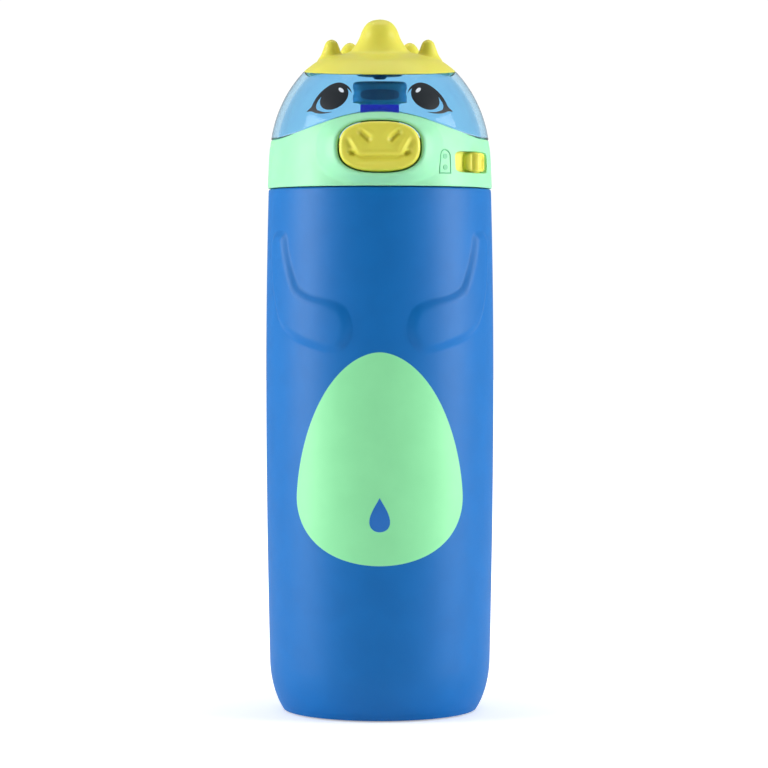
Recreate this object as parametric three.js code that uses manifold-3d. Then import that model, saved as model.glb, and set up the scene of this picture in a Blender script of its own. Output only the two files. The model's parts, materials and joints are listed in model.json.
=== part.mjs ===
// Kids' insulated straw bottle with a flip-up dome lid, a push button and a slide lock.
// Millimetres, +Z up. The lid's front (its push button) faces -Y and the dome's hinge is at +Y.
// The origin is on the bottle's axis, at the flat underside of the foot.
// A "bearing" is an angle round the bottle's axis: 0 at the front, growing towards +X.

import * as THREE from 'three';
import { mergeVertices } from 'three/addons/utils/BufferGeometryUtils.js';
import Module from 'manifold-3d';

const wasm = await Module();
wasm.setup();

// ---------- driving dimensions ----------

const GAP = 0.3;
const BIG = 60;

const ROUND = 40;
const ROUND_HIDDEN = 24;
const ROUND_SMALL = 12;

const BELLY_RADIUS = 35.5;
const BELLY_Z = 103;
const SHOULDER_RADIUS = 34.67;
const SHOULDER_Z = 162.6;
const HEEL_RADIUS = 34.42;
const HEEL_Z = 15.6;
const FOOT_RADIUS = 30.2;
const FOOT_OPENING = 27.7;
const FOOT_Z = 0.4;
const WALL = 0.5;
const VACUUM_GAP = 2.0;

const NECK_RADIUS = 25.4;
const NECK_TOP = 173;
const LIP_TOP = 174;
const FLASK_FLOOR_Z = 6;
const FLASK_CORNER = 6;
const FLASK_SIDE_TOP = 150;

const BASE_PLATE_RADIUS = 29;
const GETTER = { radius: 4.5, low: 2.6, high: 4.2 };

const THREAD_LEAD = 4.2;
const THREAD_TURN = 0.85;
const THREAD_START_Z = 168.4;

const ARM_RISE = 0.9;
const ARM_BEARING = 42;
const ARM_BAND = { low: 105, high: 155 };
const ARM_CUTTER = { from: 15, to: 45 };

// One relaxed arm: upper arm along the side, forearm lying in towards the belly.
// Each point is (bearing, height) on the +X side.
const ARM_OUTLINE = [
  [66.3, 148.9], [59.5, 149.2], [54.5, 148.3], [52.3, 143.5], [49.9, 139.3],
  [45.2, 133.2], [41.7, 131.4], [35.9, 129.9], [24.9, 128.3], [17.5, 126.2],
  [14.2, 121.8], [14.4, 117.6], [18, 113.6], [25, 112.6], [35.1, 113.9],
  [48.7, 116.6], [59.3, 120.9], [65.8, 128.3], [69.6, 137.5], [70.3, 145.6],
];

const COLLAR_BOTTOM = 163.4;
const COLLAR_BORE = 32.9;
const PARTING_Z = 177.7;
const WAVE_RISE = 7.4;
const WAVE_SPAN = 71;
const PARTING_GAP = 0.5;
const WAVE_CUTTER = { inner: 29, outer: 40 };

// The collar's outside as (radius, height), narrowing upwards into the dome's curve.
const COLLAR_PROFILE = [
  [34.6, COLLAR_BOTTOM], [34.9, COLLAR_BOTTOM + 0.4], [34.76, 168], [34.57, 172], [34.0, 177],
  [33.75, 178], [33.2, 181], [32.4, 185], [31.8, 187.5],
];
const COLLAR_BORE_TAPER = [[31.9, PARTING_Z + GAP], [31, 182], [29.7, 188.5]];

const MUZZLE_CENTRE = new THREE.Vector3(0, -32.9, 173.9);
const MUZZLE_SEMI_AXES = new THREE.Vector3(17.5, 6, 10.4);

const DECK_TOP = 177.4;
const DECK_BOTTOM = 175.4;
const DECK_RADIUS = 32.5;
const SKIRT_OUTER = 28.6;
const SKIRT_INNER = 27.2;
const SPOUT_HOLE = 6;

const GASKET = { inner: 23.9, outer: 26.6 };
const VENT = { x: 13, y: 7, stem: 1.4, head: 3 };

const SPOUT_STEM = 5.6;
const SPOUT_FLANGE = 9.2;
const MOUTHPIECE = { halfWidth: 7.5, halfDepth: 4.6, low: 189.7, height: 5.4, rounding: 0.9 };
const DRINK_BORE = 2;

const BUTTON_HALF_WIDTH = 12.2;
const BUTTON_HALF_HEIGHT = 7.55;
const BUTTON_Z = 174.5;
const BUTTON_FRONT = 39;
const BUTTON_BACK = 35.2;
const BUTTON_CLEARANCE = 0.4;
const BUTTON_ROUNDNESS = 2.6;

const LATCH_HALF_WIDTH = 9;
const LATCH_WINDOW = 6.6;
const LATCH_LOW = 178.2;
const LATCH_HIGH = 180.2;

const SPRING_WIRE = 0.32;
const BUTTON_SPRING = { x: 7, y: -32.8, z: 171, radius: 1.6, length: 4, turns: 3.5 };
const HINGE_SPRING = { radius: 1.7, length: 4.6, turns: 4 };

const LOCK_BEARING = 57.35;
const LOCK_Z = 170.4;
const LOCK_SLOT_HALF_WIDTH = 9.3;
const LOCK_SLOT_HALF_HEIGHT = 3.2;
const LOCK_SLOT_CORNER = 1.2;
const LOCK_KNOB_BEARING = 58.4;
const LOCK_KNOB_HALF_WIDTH = 3.9;
const LOCK_PLATE = { inner: 30.9, outer: 32.4, low: 166.4, high: 174.4, from: 33, to: 85 };

const DOME_RADIUS = 34.3;
const DOME_RISE = 37.6;
const DOME_CENTRE_Z = 172;
const DOME_WALL = 2;

const CROWN_POSITION = new THREE.Vector3(0, -2.4, 199.26);
const CROWN_TILT = THREE.MathUtils.degToRad(5.9);
const CROWN_RADIUS = 23.3;
const SEAT_RADIUS = 22.6;
const SEAT_EDGE = -0.3;
const SEAT_RISE = 3.9;

// The crown's knobs as (radius, height) about their own axes, in the crown's frame.
const CENTRE_SPIKE = [
  [0, 4.5], [11.2, 4.5], [9.2, 6.4], [7.4, 8.6], [6.4, 10.7],
  [5.7, 12.6], [4.4, 14.5], [2.6, 15.7], [0, 16.1],
];
const SIDE_SPIKE = [[0, 3.6], [4.3, 3.6], [3.4, 5], [2.6, 7], [1.9, 8.8], [0, 9.8]];
const REAR_SPIKE = [[0, 3.6], [4.6, 3.6], [3.6, 4.8], [2.5, 6.8], [1.6, 7.9], [0, 8.5]];
const SIDE_SPIKE_PLACE = at(15, 1);
const REAR_SPIKE_PLACE = at(9.4, 12.5);

const HINGE_Y = 36.4;
const HINGE_Z = 180;
const BARREL_RADIUS = 2.6;
const PIN_RADIUS = 1;
const PIN_HALF_LENGTH = 10.2;
const KNUCKLE_INNER = 3;
const KNUCKLE_OUTER = 6.5;
const EAR_INNER = 7;
const EAR_OUTER = 10.5;

const STRAW_RADIUS = 3.2;
const STRAW_BOTTOM = 9.5;
const STRAW_TOP = 175.5;

// ---------- finishes ----------

const BLUE_COAT = { color: 0x1d63b0, roughness: 0.45, metalness: 0.2 };
const STEEL = { color: 0xb9bcc0, roughness: 0.3, metalness: 1 };
const MINT = { color: 0x9be8b8, roughness: 0.42, metalness: 0 };
const YELLOW = { color: 0xe6dc62, roughness: 0.4, metalness: 0 };
const CLEAR_BLUE = { color: 0x5fa8e6, roughness: 0.08, metalness: 0 };
const TEAL_SILICONE = { color: 0x0b5f86, roughness: 0.6, metalness: 0 };
const GREY_SILICONE = { color: 0xc9ced2, roughness: 0.65, metalness: 0 };
const CLEAR_STRAW = { color: 0xe4eef2, roughness: 0.2, metalness: 0 };

// ---------- shape helpers ----------

const rad = THREE.MathUtils.degToRad;

function at(radius, z) {
  return new THREE.Vector2(radius, z);
}

// A closed mesh as a solid: shared vertices merged, collapsed triangles left out.
function solidOf(geometry) {
  const bare = geometry.clone();
  bare.deleteAttribute('normal');
  bare.deleteAttribute('uv');
  const merged = mergeVertices(bare, 1e-4);
  const source = merged.index.array;
  const kept = [];
  for (let i = 0; i < source.length; i += 3) {
    const [a, b, c] = [source[i], source[i + 1], source[i + 2]];
    if (a !== b && b !== c && c !== a) {
      kept.push(a, b, c);
    }
  }
  const vertProperties = merged.attributes.position.array;
  return new wasm.Manifold(new wasm.Mesh({ numProp: 3, vertProperties, triVerts: new Uint32Array(kept) }));
}

function geometryOf(solid) {
  const mesh = solid.getMesh();
  const geometry = new THREE.BufferGeometry();
  geometry.setAttribute('position', new THREE.BufferAttribute(mesh.vertProperties, 3));
  geometry.setIndex(new THREE.BufferAttribute(mesh.triVerts, 1));
  geometry.computeVertexNormals();
  return geometry;
}

function joined(first, ...others) {
  return others.reduce((sum, other) => sum.add(other), first);
}

// A body of revolution about +Z. The profile is (radius, height), counter-clockwise.
function turned(profile, segments = ROUND) {
  const lathe = new THREE.LatheGeometry(profile, segments);
  lathe.rotateX(Math.PI / 2);
  return lathe;
}

function turnedRing(profile, segments = ROUND) {
  return turned([...profile, profile[0]], segments);
}

function disc(radius, low, high, segments = ROUND) {
  return turned([at(0, low), at(radius, low), at(radius, high), at(0, high)], segments);
}

function block(x0, x1, y0, y1, z0, z1) {
  const box = new THREE.BoxGeometry(x1 - x0, y1 - y0, z1 - z0);
  box.translate((x0 + x1) / 2, (y0 + y1) / 2, (z0 + z1) / 2);
  return solidOf(box);
}

// A rod along X, centred on the dome's hinge line.
function hingeRod(radius, x0, x1, segments = ROUND_SMALL) {
  const rod = new THREE.CylinderGeometry(radius, radius, x1 - x0, segments);
  rod.rotateZ(Math.PI / 2);
  rod.translate((x0 + x1) / 2, HINGE_Y, HINGE_Z);
  return rod;
}

// A flat outline (across, up) pushed outwards from one distance to another at a bearing.
function outwardPrism(shape, bearing, from, to, bevel = null) {
  const extrude = new THREE.ExtrudeGeometry(shape, {
    depth: to - from,
    curveSegments: 6,
    bevelEnabled: bevel !== null,
    ...bevel,
  });
  extrude.rotateX(Math.PI / 2);
  extrude.translate(0, -from, 0);
  extrude.rotateZ(rad(bearing));
  return extrude;
}

// A mesh whose points were carried to a mirrored frame: its triangles are turned to face outwards.
function facedOutwards(geometry) {
  const position = geometry.attributes.position;
  const [a, b] = [new THREE.Vector3(), new THREE.Vector3()];
  for (let i = 0; i < position.count; i += 3) {
    a.fromBufferAttribute(position, i);
    b.fromBufferAttribute(position, i + 1);
    position.setXYZ(i, b.x, b.y, b.z);
    position.setXYZ(i + 1, a.x, a.y, a.z);
  }
  return geometry;
}

// A (radius, height) section carried round the axis between two bearings, climbing as it goes.
function carriedRound(shape, fromBearing, toBearing, steps, climbPerTurn = 0) {
  const extrude = new THREE.ExtrudeGeometry(shape, {
    depth: toBearing - fromBearing,
    steps,
    bevelEnabled: false,
  });
  const position = extrude.attributes.position;
  for (let i = 0; i < position.count; i += 1) {
    const radius = position.getX(i);
    const turn = position.getZ(i);
    const bearing = rad(fromBearing + turn);
    const height = position.getY(i) + (climbPerTurn * turn) / 360;
    position.setXYZ(i, radius * Math.sin(bearing), -radius * Math.cos(bearing), height);
  }
  return solidOf(facedOutwards(extrude));
}

function polygon(points) {
  return new THREE.Shape(points.map(([x, y]) => at(x, y)));
}

function superellipse(halfWidth, halfHeight, power, count = 32) {
  const points = [];
  for (let i = 0; i < count; i += 1) {
    const angle = (i / count) * 2 * Math.PI;
    const [c, s] = [Math.cos(angle), Math.sin(angle)];
    points.push([
      halfWidth * Math.sign(c) * Math.abs(c) ** (2 / power),
      halfHeight * Math.sign(s) * Math.abs(s) ** (2 / power),
    ]);
  }
  return polygon(points);
}

function roundedBox(halfWidth, halfHeight, corner) {
  const shape = new THREE.Shape();
  const [x, y] = [halfWidth - corner, halfHeight - corner];
  shape.absarc(x, -y, corner, -Math.PI / 2, 0);
  shape.absarc(x, y, corner, 0, Math.PI / 2);
  shape.absarc(-x, y, corner, Math.PI / 2, Math.PI);
  shape.absarc(-x, -y, corner, Math.PI, 1.5 * Math.PI);
  return shape;
}

class Helix extends THREE.Curve {
  constructor(centre, axis, side, radius, length, turns) {
    super();
    Object.assign(this, { centre, axis, side, radius, length, turns });
    this.across = new THREE.Vector3().crossVectors(axis, side);
  }

  getPoint(t, target = new THREE.Vector3()) {
    const angle = 2 * Math.PI * this.turns * t;
    return target
      .copy(this.centre)
      .addScaledVector(this.axis, this.length * t)
      .addScaledVector(this.side, this.radius * Math.cos(angle))
      .addScaledVector(this.across, this.radius * Math.sin(angle));
  }
}

function wireAlong(path, wireRadius, steps) {
  const section = new THREE.Shape();
  section.absarc(0, 0, wireRadius, 0, 2 * Math.PI);
  return new THREE.ExtrudeGeometry(section, { extrudePath: path, steps, curveSegments: 3 });
}

// ---------- the bottle ----------

// Radius of the blue wall: a gentle barrel, fullest at BELLY_Z.
function barrelRadius(z) {
  const [endRadius, endZ] = z > BELLY_Z ? [SHOULDER_RADIUS, SHOULDER_Z] : [HEEL_RADIUS, HEEL_Z];
  const t = (z - BELLY_Z) / (endZ - BELLY_Z);
  return BELLY_RADIUS - (BELLY_RADIUS - endRadius) * t * t;
}

function barrelPoints(fromZ, toZ, count, inset) {
  const points = [];
  for (let i = 0; i <= count; i += 1) {
    const z = THREE.MathUtils.lerp(fromZ, toZ, i / count);
    points.push(at(barrelRadius(z) - inset, z));
  }
  return points;
}

// The heel's curve from the foot up to the straight side.
function heelPoints(count, inset) {
  const curve = new THREE.CubicBezierCurve(
    at(FOOT_RADIUS - inset, FOOT_Z + inset),
    at(33 - inset, 4.6 + inset),
    at(34.3 - inset, 10.5),
    at(HEEL_RADIUS - inset, HEEL_Z),
  );
  return curve.getPoints(count);
}

function outerShellProfile() {
  const neckInner = NECK_RADIUS - WALL;
  return [
    at(FOOT_OPENING, FOOT_Z),
    ...heelPoints(4, 0),
    ...barrelPoints(HEEL_Z, SHOULDER_Z - 0.5, 5, 0).slice(1),
    at(SHOULDER_RADIUS - 0.7, SHOULDER_Z),
    at(NECK_RADIUS + 0.8, SHOULDER_Z + 0.4),
    at(NECK_RADIUS, SHOULDER_Z + 1.2),
    at(NECK_RADIUS, NECK_TOP),
    at(neckInner, NECK_TOP),
    at(neckInner, SHOULDER_Z - 0.3),
    at(SHOULDER_RADIUS - 1.4, SHOULDER_Z - 0.9),
    ...barrelPoints(SHOULDER_Z - 2, HEEL_Z, 3, WALL),
    ...heelPoints(3, WALL).reverse().slice(1),
    at(FOOT_OPENING, FOOT_Z + WALL),
  ];
}

function threadSection(rootRadius, crestRadius, z) {
  return polygon([
    [rootRadius, z - 0.9],
    [crestRadius, z - 0.45],
    [crestRadius, z + 0.45],
    [rootRadius, z + 0.9],
  ]);
}

function threadRib(rootRadius, crestRadius, z) {
  const outline = threadSection(rootRadius, crestRadius, z);
  const turned360 = 360 * THREAD_TURN;
  return carriedRound(outline, 0, turned360, 26, THREAD_LEAD);
}

function armSolid(side) {
  const flat = ARM_OUTLINE.map(([bearing, z]) => at(
    side * BELLY_RADIUS * Math.sin(rad(bearing - ARM_BEARING)),
    z,
  ));
  const outline = new THREE.SplineCurve([...flat, flat[0]]).getPoints(28).slice(1);
  const { from, to } = ARM_CUTTER;
  const prism = solidOf(outwardPrism(new THREE.Shape(outline), side * ARM_BEARING, from, to));
  const sleeve = solidOf(turnedRing([
    ...barrelPoints(ARM_BAND.low, ARM_BAND.high, 3, -ARM_RISE),
    ...barrelPoints(ARM_BAND.high, ARM_BAND.low, 3, WALL / 2),
  ]));
  return prism.intersect(sleeve);
}

function outerShell() {
  return joined(
    solidOf(turnedRing(outerShellProfile())),
    threadRib(NECK_RADIUS - 0.2, NECK_RADIUS + 1.1, THREAD_START_Z),
    armSolid(1),
    armSolid(-1),
  );
}

function innerFlask() {
  const inset = WALL + VACUUM_GAP;
  const neckOuter = NECK_RADIUS - WALL - GAP - 0.15;
  const neckInner = neckOuter - WALL;
  const corner = FLASK_CORNER;
  const floorRadius = barrelRadius(HEEL_Z) - inset - corner;
  return turned([
    at(0, FLASK_FLOOR_Z),
    at(floorRadius, FLASK_FLOOR_Z),
    at(floorRadius + corner * 0.7, FLASK_FLOOR_Z + corner * 0.3),
    ...barrelPoints(FLASK_FLOOR_Z + corner, FLASK_SIDE_TOP, 3, inset),
    at(31, 156),
    at(neckOuter + 1.4, 160.5),
    at(neckOuter, 162.2),
    at(neckOuter, NECK_TOP + GAP),
    at(NECK_RADIUS, NECK_TOP + GAP),
    at(NECK_RADIUS, LIP_TOP),
    at(neckInner, LIP_TOP),
    at(neckInner, 162),
    at(neckInner + 1.2, 160),
    at(30.4, 155.6),
    ...barrelPoints(FLASK_SIDE_TOP - 0.4, FLASK_FLOOR_Z + corner, 3, inset + WALL),
    at(floorRadius + corner * 0.6, FLASK_FLOOR_Z + corner * 0.3 + WALL * 0.8),
    at(floorRadius - 0.4, FLASK_FLOOR_Z + WALL),
    at(0, FLASK_FLOOR_Z + WALL),
  ], ROUND_HIDDEN);
}

function basePlate() {
  return disc(BASE_PLATE_RADIUS, FOOT_Z + WALL + GAP, FOOT_Z + 2 * WALL + GAP, ROUND_HIDDEN);
}

function getterCapsule() {
  return disc(GETTER.radius, GETTER.low, GETTER.high, ROUND_SMALL);
}

function basePad() {
  return disc(FOOT_OPENING - 0.5, 0, FOOT_Z + WALL, ROUND);
}

// ---------- the lid's parting line ----------

// Height of the collar's top edge: level at the sides and back, one smooth swell at the front.
function waveHeight(x, y) {
  const bearing = THREE.MathUtils.radToDeg(Math.abs(Math.atan2(x, -y)));
  if (bearing >= WAVE_SPAN) {
    return PARTING_Z;
  }
  return PARTING_Z + WAVE_RISE * 0.5 * (1 + Math.cos((Math.PI * bearing) / WAVE_SPAN));
}

// A thick ring whose top or bottom follows the parting line, moved up by lift.
function waveRing(low, high, followed, lift) {
  const { inner, outer } = WAVE_CUTTER;
  const ring = turnedRing([at(inner, low), at(outer, low), at(outer, high), at(inner, high)]);
  const position = ring.attributes.position;
  for (let i = 0; i < position.count; i += 1) {
    if (Math.abs(position.getZ(i) - followed) < 1e-3) {
      position.setZ(i, waveHeight(position.getX(i), position.getY(i)) + lift);
    }
  }
  return solidOf(ring);
}

// ---------- the collar and what it carries ----------

function collarOuterSolid() {
  const side = COLLAR_PROFILE.map(([radius, z]) => at(radius, z));
  return solidOf(turned([at(0, COLLAR_BOTTOM), ...side, at(0, side.at(-1).y)]));
}

function collarBore() {
  const low = COLLAR_BOTTOM - 10;
  const taper = COLLAR_BORE_TAPER.map(([radius, z]) => at(radius, z));
  return solidOf(turned([
    at(0, low),
    at(COLLAR_BORE, low),
    at(COLLAR_BORE, PARTING_Z),
    ...taper,
    at(0, taper.at(-1).y),
  ]));
}

// The soft swelling that frames the button.
function muzzle() {
  const ball = new THREE.SphereGeometry(1, 24, 14);
  ball.rotateX(Math.PI / 2);
  ball.scale(...MUZZLE_SEMI_AXES);
  ball.translate(...MUZZLE_CENTRE);
  return solidOf(ball);
}

function buttonOutline(grow) {
  return superellipse(BUTTON_HALF_WIDTH + grow, BUTTON_HALF_HEIGHT + grow, BUTTON_ROUNDNESS);
}

function raised(geometry, z) {
  geometry.translate(0, 0, z);
  return solidOf(geometry);
}

// An ear of the hinge: a gusset on the collar's back that carries the pin.
function hingeEar(x0) {
  const shape = new THREE.Shape();
  shape.moveTo(32.4, 168);
  shape.lineTo(36.6, 172.4);
  shape.lineTo(HINGE_Y + BARREL_RADIUS, 177);
  shape.absarc(HINGE_Y, HINGE_Z, BARREL_RADIUS, 0, Math.PI);
  shape.lineTo(HINGE_Y - BARREL_RADIUS, PARTING_Z);
  shape.lineTo(32.4, PARTING_Z - 0.5);
  const ear = new THREE.ExtrudeGeometry(shape, {
    depth: EAR_OUTER - EAR_INNER,
    curveSegments: 8,
    bevelEnabled: false,
  });
  ear.rotateX(Math.PI / 2);
  ear.rotateZ(Math.PI / 2);
  ear.translate(x0, 0, 0);
  return solidOf(ear);
}

function lidCollar() {
  const opening = raised(outwardPrism(buttonOutline(BUTTON_CLEARANCE), 0, 28, 42), BUTTON_Z);
  const slot = raised(
    outwardPrism(
      roundedBox(LOCK_SLOT_HALF_WIDTH, LOCK_SLOT_HALF_HEIGHT, LOCK_SLOT_CORNER),
      LOCK_BEARING,
      30.8,
      40,
    ),
    LOCK_Z,
  );
  const pinHole = solidOf(hingeRod(PIN_RADIUS + GAP, -BIG, BIG));
  return joined(collarOuterSolid(), muzzle())
    .subtract(collarBore())
    .subtract(waveRing(PARTING_Z, 220, PARTING_Z, 0))
    .subtract(opening)
    .subtract(slot)
    .add(hingeEar(EAR_INNER))
    .add(hingeEar(-EAR_OUTER))
    .subtract(pinHole);
}

function lidLiner() {
  const cap = solidOf(turnedRing([
    at(SPOUT_HOLE, DECK_BOTTOM),
    at(SKIRT_INNER, DECK_BOTTOM),
    at(SKIRT_INNER, COLLAR_BOTTOM + 0.6),
    at(SKIRT_OUTER, COLLAR_BOTTOM + 0.6),
    at(SKIRT_OUTER, DECK_BOTTOM),
    at(DECK_RADIUS, DECK_BOTTOM),
    at(DECK_RADIUS, DECK_TOP),
    at(SPOUT_HOLE, DECK_TOP),
  ]));
  const rib = threadRib(SKIRT_INNER + 0.2, SKIRT_INNER - 1.3, THREAD_START_Z - THREAD_LEAD / 2);
  const latchNotch = block(-12, 12, -BIG, -29.6, DECK_BOTTOM - 1, DECK_TOP + 1);
  const ventHole = disc(VENT.stem + GAP, DECK_BOTTOM - 1, DECK_TOP + 1, ROUND_SMALL);
  ventHole.translate(VENT.x, VENT.y, 0);
  return joined(cap, rib).subtract(latchNotch).subtract(solidOf(ventHole));
}

function lidGasket() {
  return turnedRing([
    at(GASKET.inner, LIP_TOP + GAP),
    at(GASKET.outer, LIP_TOP + GAP),
    at(GASKET.outer, DECK_BOTTOM - GAP),
    at(GASKET.inner, DECK_BOTTOM - GAP),
  ], ROUND_HIDDEN);
}

// A mushroom valve: a wide head on the deck and a stem through it with a snap-in bead.
function ventValve() {
  const bead = VENT.stem + 0.9;
  const valve = turned([
    at(0, DECK_BOTTOM - 2.6),
    at(bead - 0.8, DECK_BOTTOM - 2.6),
    at(bead, DECK_BOTTOM - 1.4),
    at(VENT.stem, DECK_BOTTOM - 0.4),
    at(VENT.stem, DECK_TOP + GAP),
    at(VENT.head, DECK_TOP + GAP),
    at(VENT.head - 0.4, DECK_TOP + 1.1),
    at(0, DECK_TOP + 1.3),
  ], ROUND_SMALL);
  valve.translate(VENT.x, VENT.y, 0);
  return valve;
}

function spout() {
  const stem = solidOf(turned([
    at(0, 167.5),
    at(SPOUT_STEM - 0.4, 167.5),
    at(SPOUT_STEM, 168.2),
    at(SPOUT_STEM, 171.6),
    at(7.2, 172.4),
    at(7.2, DECK_BOTTOM - GAP),
    at(SPOUT_STEM, DECK_BOTTOM - GAP),
    at(SPOUT_STEM, DECK_TOP + GAP),
    at(SPOUT_FLANGE, DECK_TOP + GAP),
    at(SPOUT_FLANGE, DECK_TOP + GAP + 1),
    at(6.2, 180.2),
    at(5.2, 184),
    at(5.4, 189),
    at(0, 189),
  ], 20));
  const outline = superellipse(MOUTHPIECE.halfWidth, MOUTHPIECE.halfDepth, 2.8, 20);
  const mouthpiece = new THREE.ExtrudeGeometry(outline, {
    depth: MOUTHPIECE.height,
    bevelThickness: MOUTHPIECE.rounding,
    bevelSize: MOUTHPIECE.rounding,
    bevelSegments: 2,
  });
  mouthpiece.translate(0, 0, MOUTHPIECE.low);
  const [low, high] = [STRAW_BOTTOM, MOUTHPIECE.low + 2 * MOUTHPIECE.height];
  const bore = solidOf(disc(DRINK_BORE, low, high, ROUND_SMALL));
  const strawSocket = solidOf(disc(STRAW_RADIUS + GAP, low, STRAW_TOP + GAP, ROUND_SMALL));
  return joined(stem, solidOf(mouthpiece)).subtract(bore).subtract(strawSocket);
}

function straw() {
  const bore = STRAW_RADIUS - 0.7;
  return turnedRing([
    at(bore, STRAW_BOTTOM),
    at(STRAW_RADIUS, STRAW_BOTTOM),
    at(STRAW_RADIUS, STRAW_TOP),
    at(bore, STRAW_TOP),
  ], ROUND_SMALL);
}

// ---------- the button, its latch and springs ----------

function snoutButton() {
  const bevel = { bevelThickness: 1.1, bevelSize: 0.9, bevelOffset: -0.9, bevelSegments: 3 };
  const from = BUTTON_BACK + bevel.bevelThickness;
  const to = BUTTON_FRONT - bevel.bevelThickness;
  const cap = outwardPrism(buttonOutline(0), 0, from, to, bevel);
  cap.translate(0, 0, BUTTON_Z);
  return cap;
}

// A plate behind the button with a window that the dome's catch drops into.
function latchSlide() {
  const back = BUTTON_BACK - GAP - 1.5;
  const plate = raised(
    outwardPrism(superellipse(11.4, 6.7, BUTTON_ROUNDNESS, 24), 0, back, BUTTON_BACK - GAP),
    BUTTON_Z,
  );
  const frame = block(-LATCH_HALF_WIDTH, LATCH_HALF_WIDTH, -back - 0.5, -24.2, LATCH_LOW, LATCH_HIGH);
  const window = block(-LATCH_WINDOW, LATCH_WINDOW, -back, -26.2, LATCH_LOW - 1, LATCH_HIGH + 1);
  const hook = block(-5, 5, -26.9, -25.5, LATCH_HIGH - 0.6, LATCH_HIGH);
  return joined(plate, frame).subtract(window).add(hook);
}

function buttonSpring(side) {
  const { x, y, z, radius, length, turns } = BUTTON_SPRING;
  const start = new THREE.Vector3(side * x, y, z);
  const [axis, across] = [new THREE.Vector3(0, 1, 0), new THREE.Vector3(1, 0, 0)];
  const coil = new Helix(start, axis, across, radius, length, turns);
  return wireAlong(coil, SPRING_WIRE, 24);
}

function lockSlider() {
  const { inner, outer, low, high, from, to } = LOCK_PLATE;
  const section = polygon([[inner, low], [outer, low], [outer, high], [inner, high]]);
  const plate = carriedRound(section, from, to, 8);
  const side = LOCK_KNOB_HALF_WIDTH;
  const knobOutline = new THREE.Shape();
  knobOutline.moveTo(side, -32);
  knobOutline.lineTo(side, -34.2);
  knobOutline.quadraticCurveTo(2.6, -36.2, 0.4, -36.6);
  knobOutline.quadraticCurveTo(-3.4, -36.2, -side, -34.6);
  knobOutline.lineTo(-side, -32);
  const halfHeight = LOCK_SLOT_HALF_HEIGHT - GAP;
  const knob = new THREE.ExtrudeGeometry(knobOutline, {
    depth: 2 * halfHeight,
    curveSegments: 4,
    bevelEnabled: false,
  });
  knob.translate(0, 0, LOCK_Z - halfHeight);
  knob.rotateZ(rad(LOCK_KNOB_BEARING));
  return joined(plate, solidOf(knob));
}

// ---------- the dome and what it carries ----------

// An upright ellipsoid of revolution, closed by a flat floor.
function domeEgg(inset) {
  const low = 174;
  const rows = 10;
  const [radius, rise] = [DOME_RADIUS - inset, DOME_RISE - inset];
  const start = Math.asin((low - DOME_CENTRE_Z) / rise);
  const profile = [at(0, low)];
  for (let i = 0; i <= rows; i += 1) {
    const angle = THREE.MathUtils.lerp(start, Math.PI / 2, i / rows);
    profile.push(at(radius * Math.cos(angle), DOME_CENTRE_Z + rise * Math.sin(angle)));
  }
  profile[profile.length - 1].x = 0;
  return solidOf(turned(profile));
}

function seatPoints(lift) {
  const points = [];
  for (let i = 0; i <= 4; i += 1) {
    const radius = SEAT_RADIUS * (1 - i / 4);
    const fall = (radius / SEAT_RADIUS) ** 2;
    points.push(at(radius, SEAT_EDGE + SEAT_RISE * (1 - fall) + lift));
  }
  return points;
}

function inCrownFrame(geometry) {
  geometry.rotateX(CROWN_TILT);
  geometry.translate(CROWN_POSITION.x, CROWN_POSITION.y, CROWN_POSITION.z);
  return geometry;
}

// Everything below the crown's seat, moved down by drop.
function belowSeat(drop) {
  return solidOf(inCrownFrame(turned([
    at(0, -BIG),
    at(BIG, -BIG),
    at(BIG, SEAT_EDGE - drop),
    ...seatPoints(-drop),
  ])));
}

function domeKnuckle(x0, x1) {
  const barrel = solidOf(hingeRod(BARREL_RADIUS, x0, x1, ROUND_SMALL));
  const strap = block(x0, x1, 31.6, HINGE_Y, HINGE_Z - 0.6, HINGE_Z + BARREL_RADIUS);
  return barrel.add(strap);
}

// The catch that hangs behind the collar's front edge, with its nose towards the spout.
function domeCatch() {
  const tab = block(-5.8, 5.8, -29.6, -28.2, LATCH_LOW - 0.2, 188.5);
  const nose = block(-5, 5, -28.6, -27.2, LATCH_LOW - 0.2, LATCH_LOW + 1);
  return tab.add(nose);
}

function domeCover() {
  const pinHole = solidOf(hingeRod(PIN_RADIUS + GAP, -BIG, BIG));
  const outside = domeEgg(0).intersect(belowSeat(0));
  const hollow = domeEgg(DOME_WALL).intersect(belowSeat(DOME_WALL));
  const belowCollarEdge = waveRing(150, PARTING_Z, PARTING_Z, PARTING_GAP);
  return outside
    .subtract(belowCollarEdge)
    .add(domeKnuckle(KNUCKLE_INNER, KNUCKLE_OUTER))
    .add(domeKnuckle(-KNUCKLE_OUTER, -KNUCKLE_INNER))
    .subtract(hollow)
    .add(domeCatch())
    .subtract(pinHole);
}

function spike(profile, place = at(0, 0), side = 1) {
  const cone = turned(profile.map(([radius, z]) => at(radius, z)), ROUND_SMALL);
  cone.translate(side * place.x, place.y, 0);
  return solidOf(inCrownFrame(cone));
}

function crown() {
  const cap = solidOf(inCrownFrame(turned([
    ...seatPoints(GAP + 0.05).reverse(),
    at(CROWN_RADIUS, SEAT_EDGE + GAP + 0.05),
    at(CROWN_RADIUS - 0.2, 0.5),
    at(22.3, 1.2),
    at(19.6, 3),
    at(17, 4.3),
    at(9, 5.7),
    at(0, 6.2),
  ], 32)));
  return joined(
    cap,
    spike(CENTRE_SPIKE),
    spike(SIDE_SPIKE, SIDE_SPIKE_PLACE),
    spike(SIDE_SPIKE, SIDE_SPIKE_PLACE, -1),
    spike(REAR_SPIKE, REAR_SPIKE_PLACE),
    spike(REAR_SPIKE, REAR_SPIKE_PLACE, -1),
  );
}

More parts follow.
